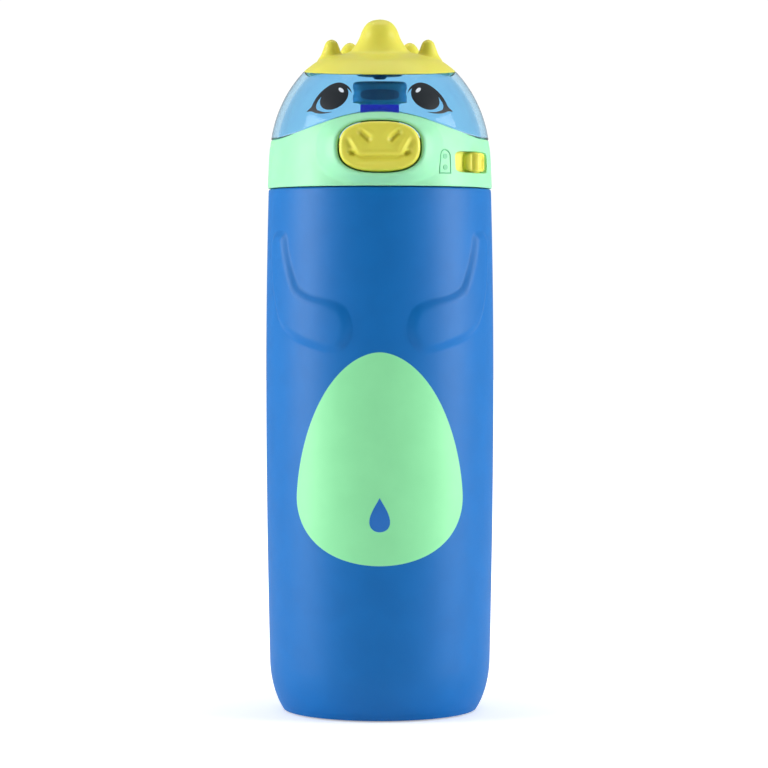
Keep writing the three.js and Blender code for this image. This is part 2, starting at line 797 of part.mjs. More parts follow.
function spoutStopper() {
  return turned([
    at(0, 196.9),
    at(1.6, 196.9),
    at(2.6, 198),
    at(7, 198),
    at(7, 199),
    at(2.6, 199.6),
    at(0, 199.6),
  ], ROUND_SMALL);
}

function hingePin() {
  return hingeRod(PIN_RADIUS, -PIN_HALF_LENGTH, PIN_HALF_LENGTH, 12);
}

// A torsion coil round the pin, between the dome's two knuckles.
function hingeSpring() {
  const { radius, length, turns } = HINGE_SPRING;
  const start = new THREE.Vector3(-length / 2, HINGE_Y, HINGE_Z);
  const [axis, across] = [new THREE.Vector3(1, 0, 0), new THREE.Vector3(0, 0, -1)];
  const coil = new Helix(start, axis, across, radius, length, turns);
  return wireAlong(coil, SPRING_WIRE, 30);
}

// ---------- the assembly ----------

function part(name, shape, finish) {
  const geometry = shape.isBufferGeometry ? shape : geometryOf(shape);
  const mesh = new THREE.Mesh(geometry, new THREE.MeshStandardMaterial(finish));
  mesh.name = name;
  return mesh;
}

const group = new THREE.Group();

group.add(
  part('outer_shell', outerShell(), BLUE_COAT),
  part('inner_flask', innerFlask(), STEEL),
  part('base_plate', basePlate(), STEEL),
  part('getter_capsule', getterCapsule(), STEEL),
  part('base_pad', basePad(), GREY_SILICONE),
  part('lid_gasket', lidGasket(), GREY_SILICONE),
  part('lid_collar', lidCollar(), MINT),
  part('lid_liner', lidLiner(), MINT),
  part('vent_valve', ventValve(), GREY_SILICONE),
  part('spout', spout(), TEAL_SILICONE),
  part('straw', straw(), CLEAR_STRAW),
  part('hinge_pin', hingePin(), STEEL),
  part('hinge_spring', hingeSpring(), STEEL),
  part('button_spring_left', buttonSpring(-1), STEEL),
  part('button_spring_right', buttonSpring(1), STEEL),
  part('snout_button', snoutButton(), YELLOW),
  part('latch_slide', latchSlide(), YELLOW),
  part('lock_slider', lockSlider(), YELLOW),
  part('dome_cover', domeCover(), CLEAR_BLUE),
  part('crown', crown(), YELLOW),
  part('spout_stopper', spoutStopper(), TEAL_SILICONE),
);

export default group;
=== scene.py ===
"""Looks of a children's insulated straw bottle with a flip-up dome lid.

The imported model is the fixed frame. Every piece below is worked out in millimetres in that
frame and put into Blender in metres. A "bearing" is an angle round the bottle's axis: 0 at the
front (-Y, the push button's side), growing towards +X.
"""

import json
import logging
import math
from collections.abc import Callable, Sequence
from dataclasses import dataclass, field
from enum import Enum

import bmesh
import bpy
import numpy as np
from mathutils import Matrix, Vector

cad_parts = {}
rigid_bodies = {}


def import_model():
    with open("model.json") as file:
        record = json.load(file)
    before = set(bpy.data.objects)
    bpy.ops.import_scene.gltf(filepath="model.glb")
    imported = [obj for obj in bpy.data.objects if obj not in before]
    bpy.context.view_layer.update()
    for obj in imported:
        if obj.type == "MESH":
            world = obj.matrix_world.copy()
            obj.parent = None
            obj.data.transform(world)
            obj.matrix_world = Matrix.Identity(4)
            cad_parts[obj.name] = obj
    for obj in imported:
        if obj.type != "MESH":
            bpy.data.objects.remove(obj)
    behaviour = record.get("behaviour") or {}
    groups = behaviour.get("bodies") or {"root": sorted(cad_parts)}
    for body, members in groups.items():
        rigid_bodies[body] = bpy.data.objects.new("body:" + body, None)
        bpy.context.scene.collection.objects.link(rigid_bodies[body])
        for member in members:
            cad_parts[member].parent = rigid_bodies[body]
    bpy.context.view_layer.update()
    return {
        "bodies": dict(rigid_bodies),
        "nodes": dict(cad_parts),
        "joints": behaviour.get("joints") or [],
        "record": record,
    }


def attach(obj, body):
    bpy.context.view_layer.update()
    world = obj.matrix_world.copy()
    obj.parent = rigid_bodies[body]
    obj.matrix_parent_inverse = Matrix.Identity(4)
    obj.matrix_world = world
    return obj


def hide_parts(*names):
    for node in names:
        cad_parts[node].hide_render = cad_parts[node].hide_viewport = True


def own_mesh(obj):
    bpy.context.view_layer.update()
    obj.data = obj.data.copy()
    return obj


Array = np.ndarray
Surface = Callable[..., Array]
Piece = bpy.types.Object
Tree = bpy.types.NodeTree
Node = bpy.types.Node
Socket = bpy.types.NodeSocket
Pair = tuple[float, float]
Triple = tuple[float, float, float]

MM = 0.001
QUARTER_TURN = 0.5 * math.pi
FULL_TURN = 2 * math.pi
CURVE_STEPS = 24
MERGE_METRES = 1e-7
SLIVER_METRES = 1e-8
PRINT_SINK = 0.08
LOG = logging.getLogger("bottle")


class Body(Enum):
    """The frame's bodies that a piece can ride on."""

    BOTTLE = "bottle"
    RING = "lid_rise_ring"
    LID = "lid"
    BUTTON = "button"
    LOCK = "lock"
    DOME = "dome"


# ---------- mesh tools ----------


def wrap(bearing: Array, radius: Array, height: Array) -> Array:
    """Points at a bearing, a distance from the axis and a height.

    Args:
        bearing: Angles round the axis, in radians.
        radius: Distances from the axis.
        height: Heights.

    Returns:
        The points, with x, y and z on the last axis: x is radius times the sine of the bearing
        and y is minus radius times its cosine.
    """
    bearing, radius, height = np.broadcast_arrays(bearing, radius, height)
    return np.stack([radius * np.sin(bearing), -radius * np.cos(bearing), height], axis=-1)


def rotation(degrees: float) -> Pair:
    """The cosine and the sine of an angle."""
    return math.cos(math.radians(degrees)), math.sin(math.radians(degrees))


def facing(bearing: float) -> Array:
    """The matrix that turns row points from the front to a bearing in degrees."""
    c, s = rotation(bearing)
    return np.array([[c, s, 0], [-s, c, 0], [0, 0, 1]])


def smooth_step(value: Array, low: float, high: float) -> Array:
    """Rises from 0 at low to 1 at high as three times the square less twice the cube."""
    t = np.clip((value - low) / (high - low), 0, 1)
    return t * t * (3 - 2 * t)


def smooth_max(first: Array, second: Array, blend: float) -> Array:
    """The larger of two fields, with a fillet of about the blend's size where they cross."""
    h = np.clip(0.5 + 0.5 * (first - second) / blend, 0, 1)
    return second + (first - second) * h + blend * h * (1 - h)


def resample(points: Array, count: int, closed: bool = False) -> Array:
    """A smooth curve through a few points, at an even spacing of its length.

    Args:
        points: The points that the outline needs, one per row.
        count: How many points to give back.
        closed: Whether the curve runs back to its first point, which is then left out.

    Returns:
        Points on the Catmull-Rom curve through the given ones.
    """
    rows = np.asarray(points, float)
    if closed:
        padded = np.vstack([rows[-1], rows, rows[:2]])
    else:
        padded = np.vstack([2 * rows[0] - rows[1], rows, 2 * rows[-1] - rows[-2]])
    t = np.linspace(0, 1, CURVE_STEPS, endpoint=False)[:, None, None]
    a, b, c, d = padded[:-3], padded[1:-2], padded[2:-1], padded[3:]
    curve = 0.5 * (
        2 * b + (c - a) * t + (2 * a - 5 * b + 4 * c - d) * t**2 + (3 * b - a - 3 * c + d) * t**3
    )
    dense = np.vstack([curve.transpose(1, 0, 2).reshape(-1, rows.shape[1]), padded[-2]])
    length = np.concatenate([[0], np.cumsum(np.linalg.norm(np.diff(dense, axis=0), axis=1))])
    stops = np.linspace(0, length[-1], count, endpoint=not closed)
    return np.stack([np.interp(stops, length, dense[:, k]) for k in range(rows.shape[1])], axis=1)


def inside_distance(across: Array, up: Array, outline: Array) -> Array:
    """How far points lie inside a closed outline.

    Args:
        across: First coordinates of the points.
        up: Second coordinates of the points.
        outline: The outline's corners in order, one per row.

    Returns:
        The distance to the nearest edge, positive inside and negative outside.
    """
    p = np.stack([across, up], axis=-1)[..., None, :]
    a, b = outline, np.roll(outline, -1, axis=0)
    edge = b - a
    t = np.clip(((p - a) * edge).sum(-1) / (edge**2).sum(-1), 0, 1)
    nearest = np.linalg.norm(p - a - t[..., None] * edge, axis=-1).min(-1)
    rising = (a[:, 1] > p[..., 1]) != (b[:, 1] > p[..., 1])
    span = np.where(edge[:, 1] == 0, 1, edge[:, 1])
    crosses = rising & (p[..., 0] < a[:, 0] + edge[:, 0] * (p[..., 1] - a[:, 1]) / span)
    return np.where(crosses.sum(-1) % 2 == 1, nearest, -nearest)


@dataclass
class Skin:
    """Points and faces of one piece while it is being built, in millimetres."""

    points: list[Array] = field(default_factory=list)
    quads: list[Array] = field(default_factory=list)
    count: int = 0

    def add_points(self, rows: Array) -> Array:
        """Adds points.

        Args:
            rows: An array whose last axis is x, y and z.

        Returns:
            The new points' numbers, in the array's own layout.
        """
        flat = np.asarray(rows, float).reshape(-1, 3)
        numbers = np.arange(self.count, self.count + len(flat)).reshape(rows.shape[:-1])
        self.points.append(flat)
        self.count += len(flat)
        return numbers

    def sew(self, numbers: Array, around: bool = False, keep: Array | None = None) -> None:
        """Joins a grid of point numbers with four-sided faces.

        Args:
            numbers: Point numbers on a grid.
            around: Whether each row runs back to its first point.
            keep: Which cells get a face, or every cell if left out.
        """
        if around:
            numbers = np.concatenate([numbers, numbers[:, :1]], axis=1)
        cells = np.stack([numbers[:-1, :-1], numbers[:-1, 1:], numbers[1:, 1:], numbers[1:, :-1]], -1)
        self.quads.append(cells[keep] if keep is not None else cells.reshape(-1, 4))

    def patch(self, rows: Array, around: bool = False) -> Array:
        """Adds a grid of points and its faces, and gives back the points' numbers."""
        numbers = self.add_points(rows)
        self.sew(numbers, around)
        return numbers

    def to_object(self, name: str, crease: float = 35) -> Piece:
        """Makes the piece: doubles merged, normals outwards, smooth except at sharp edges.

        Args:
            name: The piece's name.
            crease: The angle in degrees past which an edge stays sharp.

        Returns:
            The new object, at the origin.
        """
        mesh = bpy.data.meshes.new(name)
        mesh.from_pydata(np.vstack(self.points) * MM, [], np.vstack(self.quads).tolist())
        work = bmesh.new()
        work.from_mesh(mesh)
        bmesh.ops.remove_doubles(work, verts=work.verts, dist=MERGE_METRES)
        bmesh.ops.dissolve_degenerate(work, edges=work.edges, dist=SLIVER_METRES)
        bmesh.ops.recalc_face_normals(work, faces=work.faces)
        work.to_mesh(mesh)
        work.free()
        mesh.polygons.foreach_set("use_smooth", np.ones(len(mesh.polygons), bool))
        mesh.set_sharp_from_angle(angle=math.radians(crease))
        mesh.update()
        piece = bpy.data.objects.new(name, mesh)
        bpy.context.scene.collection.objects.link(piece)
        LOG.info("%s: %d faces", name, len(mesh.polygons))
        return piece


def hull(name: str, rows: Array, crease: float = 35) -> Piece:
    """Makes a piece from one grid whose rows each run back to their first point."""
    skin = Skin()
    skin.patch(rows, around=True)
    return skin.to_object(name, crease)


def turned(name: str, profile: Sequence[Pair] | Array, segments: int = 128) -> Piece:
    """A body of revolution: a closed (radius, height) profile carried round the axis."""
    rows = np.asarray(profile, float)
    bearing = np.linspace(0, FULL_TURN, segments, endpoint=False)
    grid = wrap(bearing[None], rows[:, :1], rows[:, 1:])
    return hull(name, np.concatenate([grid, grid[:1]]))


def rounded(corners: Sequence[Triple], steps: int = 5) -> Array:
    """A closed profile whose corners are rounded.

    Args:
        corners: Each corner's two coordinates and how far from it the rounding starts.
        steps: Points in each rounding.

    Returns:
        The profile: at each corner a quadratic curve from one side to the other.
    """
    rows = np.asarray(corners, float)
    here = rows[:, :2]
    back, ahead = np.roll(here, 1, axis=0) - here, np.roll(here, -1, axis=0) - here
    reach = rows[:, 2:]
    start = here + back / np.maximum(np.linalg.norm(back, axis=1, keepdims=True), 1e-9) * reach
    end = here + ahead / np.maximum(np.linalg.norm(ahead, axis=1, keepdims=True), 1e-9) * reach
    t = np.linspace(0, 1, steps)[:, None, None]
    curve = (1 - t) ** 2 * start + 2 * t * (1 - t) * here + t**2 * end
    points = curve.transpose(1, 0, 2).reshape(-1, 2)
    moved = np.linalg.norm(points - np.roll(points, 1, axis=0), axis=1) > 1e-6
    return points[moved]


def swept(name: str, path: Array, radius: float | Array, sides: int = 12) -> Piece:
    """A round rod along a path, with its ends closed.

    Args:
        name: The piece's name.
        path: Points along the rod, one per row.
        radius: The rod's radius, or one per point.
        sides: Points round the rod.

    Returns:
        The new object.
    """
    ahead = np.gradient(path, axis=0)
    ahead /= np.linalg.norm(ahead, axis=1, keepdims=True)
    side = np.cross(ahead, [0.31, 0.17, 0.93])  # a direction that no path here runs along
    side /= np.linalg.norm(side, axis=1, keepdims=True)
    over = np.cross(ahead, side)
    angle = np.linspace(0, FULL_TURN, sides, endpoint=False)
    ring = side[:, None] * np.cos(angle)[:, None] + over[:, None] * np.sin(angle)[:, None]
    grid = path[:, None] + ring * np.broadcast_to(radius, len(path))[:, None, None]
    start, end = (np.repeat(tip, sides, axis=0)[None] for tip in (path[:1], path[-1:]))
    return hull(name, np.concatenate([start, grid, end]), 50)


def laid_on(name: str, surface: Surface, left: Array, right: Array, columns: int, rise: float) -> Piece:
    """A thin printed shape on a surface, between two edge curves.

    Args:
        name: The piece's name.
        surface: Gives points for two surface coordinates and takes a lift as its third value.
        left: One edge, as rows of surface coordinates.
        right: The other edge, with as many rows.
        columns: Points across the shape.
        rise: How far the print stands above the surface.

    Returns:
        The new object: a closed skin with an upper and a lower face.
    """
    t = np.linspace(0, 1, columns)[None, :, None]
    flat = left[:, None] * (1 - t) + right[:, None] * t
    skin = Skin()
    upper = skin.patch(surface(flat[..., 0], flat[..., 1], rise))
    lower = skin.patch(surface(flat[..., 0], flat[..., 1], -PRINT_SINK))
    for edge in (np.s_[0, :], np.s_[-1, :], np.s_[:, 0], np.s_[:, -1]):
        skin.sew(np.stack([upper[edge], lower[edge]]))
    return skin.to_object(name)


def superellipse(angle: Array, half_width: float, half_height: float, power: float) -> Array:
    """Points of a rounded box outline, at given directions from its centre.

    Args:
        angle: Directions from the centre, in radians.
        half_width: Half of its width.
        half_height: Half of its height.
        power: 2 is an ellipse, and larger is squarer.

    Returns:
        The points where rays at those directions meet the outline.
    """
    c, s = np.cos(angle), np.sin(angle)
    reach = (np.abs(c / half_width) ** power + np.abs(s / half_height) ** power) ** (-1 / power)
    return np.stack([reach * c, reach * s], axis=-1)


# ---------- finishes ----------


def linear(red: int, green: int, blue: int) -> tuple[float, float, float, float]:
    """A display colour of 0 to 255 as linear red, green, blue and alpha."""
    v = np.array([red, green, blue]) / 255
    line = np.where(v <= 0.04045, v / 12.92, ((v + 0.055) / 1.055) ** 2.4)
    return (*map(float, line), 1.0)


def add_node(tree: Tree, kind: str, inputs: dict | None = None, operation: str = "") -> Node:
    """Adds a shader node.

    Args:
        tree: The tree that it is added to.
        kind: The node's type, without its "ShaderNode".
        inputs: For each input's name or number, a plain value or the output that feeds it.
        operation: What a maths node works out.

    Returns:
        The new node.
    """
    node = tree.nodes.new(f"ShaderNode{kind}")
    if operation:
        node.operation = operation
    for key, value in (inputs or {}).items():
        if isinstance(value, Socket):
            tree.links.new(value, node.inputs[key])
        else:
            node.inputs[key].default_value = value
    return node


def add_range(tree: Tree, value: Socket, source: Pair, target: Pair) -> Socket:
    """Adds a node that maps one range of values onto another, and gives its output."""
    node = add_node(tree, "MapRange", {
        "Value": value, "From Min": source[0], "From Max": source[1],
        "To Min": target[0], "To Max": target[1],
    })
    return node.outputs["Result"]


@dataclass(frozen=True)
class Finish:
    """A moulded, coated or printed surface with its own grain.

    Attributes:
        name: The material's name.
        colour: Display colour of the surface.
        shade: Display colour of its darker patches.
        roughness: Lowest and highest roughness over the surface.
        metallic: 1 for bare metal.
        grain_mm: Size of the fine grain.
        grain: Height of the fine grain, in thousandths of a millimetre.
        coat: Weight of a clear coat.
        transmission: How far light passes through.
        subsurface: How far light scatters inside.
        streak: How much the grain is drawn out along the axis round the bottle.
        specular: Strength of the plain reflection.
        ior: How much light bends inside.
        clear: Whether lamps shine through it without a hard shadow.
        coat_roughness: Roughness of the clear coat.
        subsurface_mm: How deep light scatters.
        cloud_mm: Size of the patches between the two colours.
        blend_span: The patch pattern's values where each of the two colours is reached.
        grain_span: The grain pattern's values where the roughness is lowest and highest.
    """

    name: str
    colour: tuple[int, int, int]
    shade: tuple[int, int, int]
    roughness: Pair = (0.35, 0.45)
    metallic: float = 0.0
    grain_mm: float = 0.35
    grain: float = 6.0
    coat: float = 0.0
    transmission: float = 0.0
    subsurface: float = 0.0
    streak: float = 1.0
    specular: float = 0.5
    ior: float = 1.45
    clear: bool = False
    coat_roughness: float = 0.12
    subsurface_mm: float = 2.0
    cloud_mm: float = 9.0
    blend_span: Pair = (0.35, 0.65)
    grain_span: Pair = (0.3, 0.7)

    def material(self) -> bpy.types.Material:
        """Makes the material, or gives back the one made before."""
        name = f"{self.name}_finish"
        made = bpy.data.materials.get(name)
        if made:
            return made
        material = bpy.data.materials.new(name)
        material.use_nodes = True
        tree = material.node_tree
        shader = tree.nodes["Principled BSDF"]
        for key, value in self.plain_values().items():
            shader.inputs[key].default_value = value
        place = add_node(tree, "TexCoord").outputs["Object"]
        stretch = add_node(tree, "Mapping", {"Scale": (1, 1, self.streak), "Vector": place})
        cloud = self.noise(tree, place, self.cloud_mm, 2.0)
        grain = self.noise(tree, stretch.outputs["Vector"], self.grain_mm, 3.0)
        self.link_colour(tree, shader, cloud)
        self.link_roughness(tree, shader, grain)
        self.link_grain(tree, shader, grain)
        if self.clear:
            self.let_lamps_through(tree, shader)
        return material

    def plain_values(self) -> dict[str, float]:
        """The shader's values that are the same all over the surface."""
        return {
            "Metallic": self.metallic,
            "Coat Weight": self.coat,
            "Coat Roughness": self.coat_roughness,
            "Transmission Weight": self.transmission,
            "Subsurface Weight": self.subsurface,
            "Subsurface Scale": self.subsurface_mm * MM,
            "Specular IOR Level": self.specular,
            "IOR": self.ior,
        }

    def let_lamps_through(self, tree: Tree, shader: Node) -> None:
        """Lets shadow rays pass, tinted by the surface's colour."""
        rays = add_node(tree, "LightPath")
        tint = add_node(tree, "BsdfTransparent", {"Color": linear(*self.colour)})
        mix = add_node(tree, "MixShader", {
            "Fac": rays.outputs["Is Shadow Ray"], 1: shader.outputs["BSDF"], 2: tint.outputs["BSDF"],
        })
        tree.links.new(mix.outputs["Shader"], tree.nodes["Material Output"].inputs["Surface"])

    def noise(self, tree: Tree, vector: Socket, size_mm: float, detail: float) -> Socket:
        """Adds a noise pattern whose lumps are about size_mm across, and gives its value."""
        values = {"Scale": 1 / (size_mm * MM), "Detail": detail, "Vector": vector}
        return add_node(tree, "TexNoise", values).outputs["Fac"]

    def link_colour(self, tree: Tree, shader: Node, value: Socket) -> None:
        """Runs the base colour between the two colours over the surface."""
        ramp = add_node(tree, "ValToRGB", {"Fac": value})
        colours = (self.shade, self.colour)
        for stop, place, colour in zip(ramp.color_ramp.elements, self.blend_span, colours):
            stop.position = place
            stop.color = linear(*colour)
        tree.links.new(ramp.outputs["Color"], shader.inputs["Base Color"])

    def link_roughness(self, tree: Tree, shader: Node, value: Socket) -> None:
        """Varies the roughness with the grain, between its lowest and highest value."""
        spread = add_range(tree, value, self.grain_span, self.roughness)
        tree.links.new(spread, shader.inputs["Roughness"])

    def link_grain(self, tree: Tree, shader: Node, value: Socket) -> None:
        """Raises the fine grain as a bump."""
        values = {"Strength": 1.0, "Distance": self.grain * MM * MM, "Height": value}
        bump = add_node(tree, "Bump", values)
        tree.links.new(bump.outputs["Normal"], shader.inputs["Normal"])


class Look(Enum):
    """The finishes of the bottle, each with the record's slot that it belongs to."""

    BLUE_COAT = ("blue_coat", Finish(
        "blue_powder_coat", (5, 113, 192), (4, 110, 188), (0.42, 0.52),
        grain_mm=0.3, grain=7, specular=0.35,
    ))
    MINT = ("mint_plastic", Finish(
        "mint_plastic", (162, 240, 188), (158, 237, 184), (0.36, 0.46), subsurface=0.1
    ))
    # The lock sign's mint is darker than the collar's: painted shade for the sign's raised relief.
    MINT_SIGN_SHADE = ("mint_plastic", Finish("mint_sign_painted_shade", (124, 212, 158), (116, 204, 150), (0.36, 0.46)))
    MINT_INK = ("blue_coat", Finish("mint_ink", (153, 245, 176), (150, 242, 173), (0.36, 0.46), grain=4))
    YELLOW = ("yellow_plastic", Finish(
        "yellow_plastic", (238, 231, 88), (234, 227, 83), (0.34, 0.44), subsurface=0.1
    ))
    CLEAR_BLUE = ("clear_blue", Finish(
        "clear_blue_plastic", (180, 221, 244), (176, 218, 243), (0.04, 0.09), grain_mm=2.5, grain=3,
        coat=0.15, transmission=1.0, ior=1.15, clear=True,
    ))
    TEAL = ("teal_silicone", Finish(
        "teal_silicone", (3, 112, 142), (2, 106, 136), (0.5, 0.62), subsurface=0.1
    ))
    # A darker teal patch on the bite end's front: painted shade where a recessed slit would be shaded.
    TEAL_SLIT_SHADE = ("teal_silicone", Finish("teal_slit_painted_shade", (1, 66, 94), (1, 60, 88), (0.5, 0.62)))
    GREY = ("grey_silicone", Finish(
        "grey_silicone", (190, 196, 200), (180, 187, 192), (0.55, 0.68), grain=9
    ))
    STEEL = ("bare_steel", Finish(
        "brushed_steel", (200, 202, 206), (176, 178, 182), (0.2, 0.38), metallic=1.0,
        grain_mm=0.2, grain=2, streak=12.0,
    ))
    STRAW = ("straw_plastic", Finish(
        "straw_plastic", (232, 240, 244), (224, 234, 240), (0.2, 0.3), transmission=0.5
    ))
    DARK_INK = ("clear_blue", Finish("dark_ink", (26, 34, 40), (22, 30, 36), (0.3, 0.4), grain=3))
    WHITE_INK = ("clear_blue", Finish(
        "white_ink", (236, 244, 252), (228, 238, 250), (0.3, 0.4), grain=3
    ))
    BLUE_INK = ("blue_coat", Finish("blue_ink", (36, 118, 204), (32, 112, 198), (0.34, 0.44), grain=4))
    DEEP_BLUE = ("clear_blue", Finish("deep_blue_plastic", (14, 22, 158), (10, 18, 146), (0.2, 0.3)))

    @property
    def slot(self) -> str:
        """The record's material slot."""
        return self.value[0]

    @property
    def finish(self) -> Finish:
        """The finish itself."""
        return self.value[1]


def dress(piece: Piece, look: Look, body: Body, *nodes: str) -> Piece:
    """Gives a piece its finish, the body it rides on and the nodes it stands for."""
    piece.data.materials.clear()
    piece.data.materials.append(look.finish.material())
    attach(piece, body.value)
    if nodes:
        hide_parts(*nodes)
    return piece


def dress_node(node: Piece, look: Look) -> None:
    """Gives a carried-over node its finish."""
    for index in range(len(node.data.materials)):
        node.data.materials[index] = look.finish.material()


# ---------- the steel bottle ----------


@dataclass
class Bottle:
    """The double-wall steel bottle: coated shell with two raised arms, foot pad and prints.

    Attributes:
        heel_bends: The middle two points of the heel's cubic curve.
        arm_edge: How far in from its outline an arm reaches its full height.
        arm_skirt: How far out from its outline an arm starts to rise.
        arm_outline: An arm's outline, as (degrees round from the front, height).
        egg_powers: How the belly print's arch rises, and how full its sides are.
        thread_rib: The thread's radius at its ends, and how much it grows from them.
        pad_edge: The foot pad's (radius, height) outside its ringed underside.
    """

    belly_radius: float = 35.5
    belly_z: float = 103.0
    shoulder_radius: float = 34.67
    shoulder_z: float = 162.6
    heel_radius: float = 34.42
    heel_z: float = 15.6
    foot_radius: float = 30.2
    foot_opening: float = 27.7
    foot_z: float = 0.4
    heel_bends: tuple[Pair, Pair] = ((33.0, 4.6), (34.3, 10.5))
    wall: float = 0.5
    neck_radius: float = 25.4
    neck_top: float = 173.0
    arm_rise: float = 1.15
    arm_edge: float = 3.2
    arm_skirt: float = 0.25
    arm_band: Pair = (106, 155)
    arm_reach: float = 48.0
    egg_low: float = 48.1
    egg_wide_z: float = 68.2
    egg_high: float = 112.7
    egg_half_width: float = 28.15
    egg_powers: Pair = (1.6, 0.54)
    mark_z: float = 63.6
    mark_height: float = 10.4
    mark_width: float = 0.42
    thread_lead: float = 4.2
    thread_turn: float = 0.85
    thread_z: float = 168.4
    thread_rib: Pair = (0.25, 0.7)
    thread_fade: float = 0.35
    pad_edge: tuple[Pair, ...] = ((27.2, 0.35), (27.2, 0.8), (26.9, 0.95), (0, 0.95))

    arm_outline: tuple[Pair, ...] = (
        (66.3, 148.9), (59.5, 149.2), (54.5, 148.3), (52.3, 143.5), (49.9, 139.3),
        (45.2, 133.2), (41.7, 131.4), (35.9, 129.9), (24.9, 128.3), (17.5, 126.2),
        (14.2, 121.8), (14.4, 117.6), (18.0, 113.6), (25.0, 112.6), (35.1, 113.9),
        (48.7, 116.6), (59.3, 120.9), (65.8, 128.3), (69.6, 137.5), (70.3, 145.6),
    )

    def radius(self, height: Array) -> Array:
        """The wall's radius: a parabola down from the belly to the shoulder and to the heel."""
        upper = height > self.belly_z
        end_radius = np.where(upper, self.shoulder_radius, self.heel_radius)
        end_z = np.where(upper, self.shoulder_z, self.heel_z)
        t = (height - self.belly_z) / (end_z - self.belly_z)
        return self.belly_radius - (self.belly_radius - end_radius) * t * t

    def heel(self, count: int, inset: float) -> Array:
        """The heel's cubic curve from the foot up to the straight side, moved in by inset."""
        (low_radius, low_z), high = self.heel_bends
        p = np.array([
            (self.foot_radius, self.foot_z + inset),
            (low_radius, low_z + inset),
            high,
            (self.heel_radius, self.heel_z),
        ]) - [inset, 0]
        t = np.linspace(0, 1, count)[:, None]
        u = 1 - t
        return u**3 * p[0] + 3 * t * u**2 * p[1] + 3 * t * t * u * p[2] + t**3 * p[3]

    def side(self, heights: Array, inset: float) -> Array:
        """Rows of (radius, height) on the side, moved in by inset."""
        return np.stack([self.radius(heights) - inset, heights], axis=1)

    def arm_lift(self, bearing: Array, height: Array) -> Array:
        """How far the arms stand out: a soft step at the edge of each arm's outline."""
        scale = [math.radians(1) * self.belly_radius, 1]
        outline = resample(np.array(self.arm_outline) * scale, 90, closed=True)
        lift = np.zeros(np.broadcast(bearing, height).shape)
        across = np.abs(bearing) * self.belly_radius * np.ones_like(lift)
        up = height * np.ones_like(lift)
        low, high = self.arm_band
        near = (height > low) & (height < high) & (across < self.arm_reach)
        depth = inside_distance(across[near], up[near], outline)
        step = np.clip((depth + self.arm_skirt) / self.arm_edge, 0, 1)
        lift[near] = self.arm_rise * np.sin(QUARTER_TURN * step) ** 1.3
        return lift

    def shell_rows(self) -> tuple[Array, int]:
        """The shell's closed profile and how many of its rows are on the outside."""
        low, high = self.arm_band
        top = self.shoulder_z
        heights = np.concatenate([
            np.arange(self.heel_z + 3, low + 0.5, 4.0),
            np.arange(low + 1, high - 0.5, 0.5),
            np.arange(high + 0.5, top - 1.6, 1.5),
        ])
        inner_neck = self.neck_radius - self.wall
        outside = np.vstack([
            [(self.foot_opening, self.foot_z)],
            [(self.foot_radius - 0.5, self.foot_z)],
            self.heel(26, 0),
            self.side(heights, 0),
            [(self.shoulder_radius, top - 0.7), (self.shoulder_radius - 0.1, top - 0.3)],
            [(self.shoulder_radius - 0.35, top - 0.07), (self.shoulder_radius - 0.8, top)],
            [(self.neck_radius + 1.0, top + 0.3), (self.neck_radius + 0.3, top + 0.6)],
            [(self.neck_radius, top + 1.3), (self.neck_radius, self.neck_top - 0.15)],
            [(self.neck_radius - 0.15, self.neck_top)],
        ])
        inside = np.vstack([
            [(inner_neck, self.neck_top), (inner_neck, top - 0.3)],
            [(self.shoulder_radius - 1.2, top - 0.9)],
            self.side(np.linspace(top - 2, self.heel_z, 12), self.wall),
            self.heel(10, self.wall)[::-1][1:],
            [(self.foot_opening, self.foot_z + self.wall)],
        ])
        return np.vstack([outside, inside]), len(outside)

    def build_shell(self) -> Piece:
        """The coated wall: its profile carried round the axis, lifted where the arms are."""
        rows, outer_count = self.shell_rows()
        bearing = np.linspace(-math.pi, math.pi, 480, endpoint=False)[None]
        radius, height = rows[:, :1], rows[:, 1:]
        lift = self.arm_lift(bearing, height)
        lift[outer_count:] = 0
        grid = wrap(bearing, radius + lift, height)
        return hull("coated_shell", np.concatenate([grid, grid[:1]]))

    def on_wall(self, across: Array, height: Array, lift: Array | float) -> Array:
        """Points on the wall at a distance round it from the front, and a height."""
        radius = self.radius(height)
        return wrap(across / radius, radius + lift, height)

    def build_egg(self) -> Piece:
        """The belly print: half an ellipse below its widest line, a drawn-out arch above."""
        turn = np.linspace(-QUARTER_TURN, QUARTER_TURN, 161)
        up = np.sin(turn)
        height = np.where(
            up < 0,
            self.egg_wide_z + up * (self.egg_wide_z - self.egg_low),
            self.egg_wide_z + up * (self.egg_high - self.egg_wide_z),
        )
        lower = np.sqrt(np.clip(1 - up**2, 0, 1))
        rise_power, side_power = self.egg_powers
        upper = np.clip(1 - np.abs(up) ** rise_power, 0, 1) ** side_power
        half = self.egg_half_width * np.where(up < 0, lower, upper)
        left = np.stack([-half, height], axis=1)
        right = np.stack([half, height], axis=1)
        return laid_on("belly_print", self.on_wall, left, right, 80, 0.05)

    def build_mark(self) -> Piece:
        """A plain water drop: its half width is a sine, narrowed towards the tip."""
        turn = np.linspace(0, math.pi, 61)
        half = self.mark_width * self.mark_height * np.sin(turn) * np.sin(0.5 * turn) ** 1.4
        height = self.mark_z + 0.5 * self.mark_height * np.cos(turn)
        left, right = (np.stack([side * half, height], axis=1) for side in (-1, 1))
        return laid_on("drop_print", self.on_wall, left, right, 16, 0.09)

    def build_thread(self) -> Piece:
        """The neck's thread: a rounded rib on a helix, fading out at both ends."""
        turn = np.linspace(0, FULL_TURN * self.thread_turn, 220)
        height = self.thread_z + self.thread_lead * turn / FULL_TURN
        fade = smooth_step(np.minimum(turn, turn[-1] - turn), 0, self.thread_fade)
        thin, swell = self.thread_rib
        return swept("neck_thread", wrap(turn, self.neck_radius, height), thin + swell * fade)

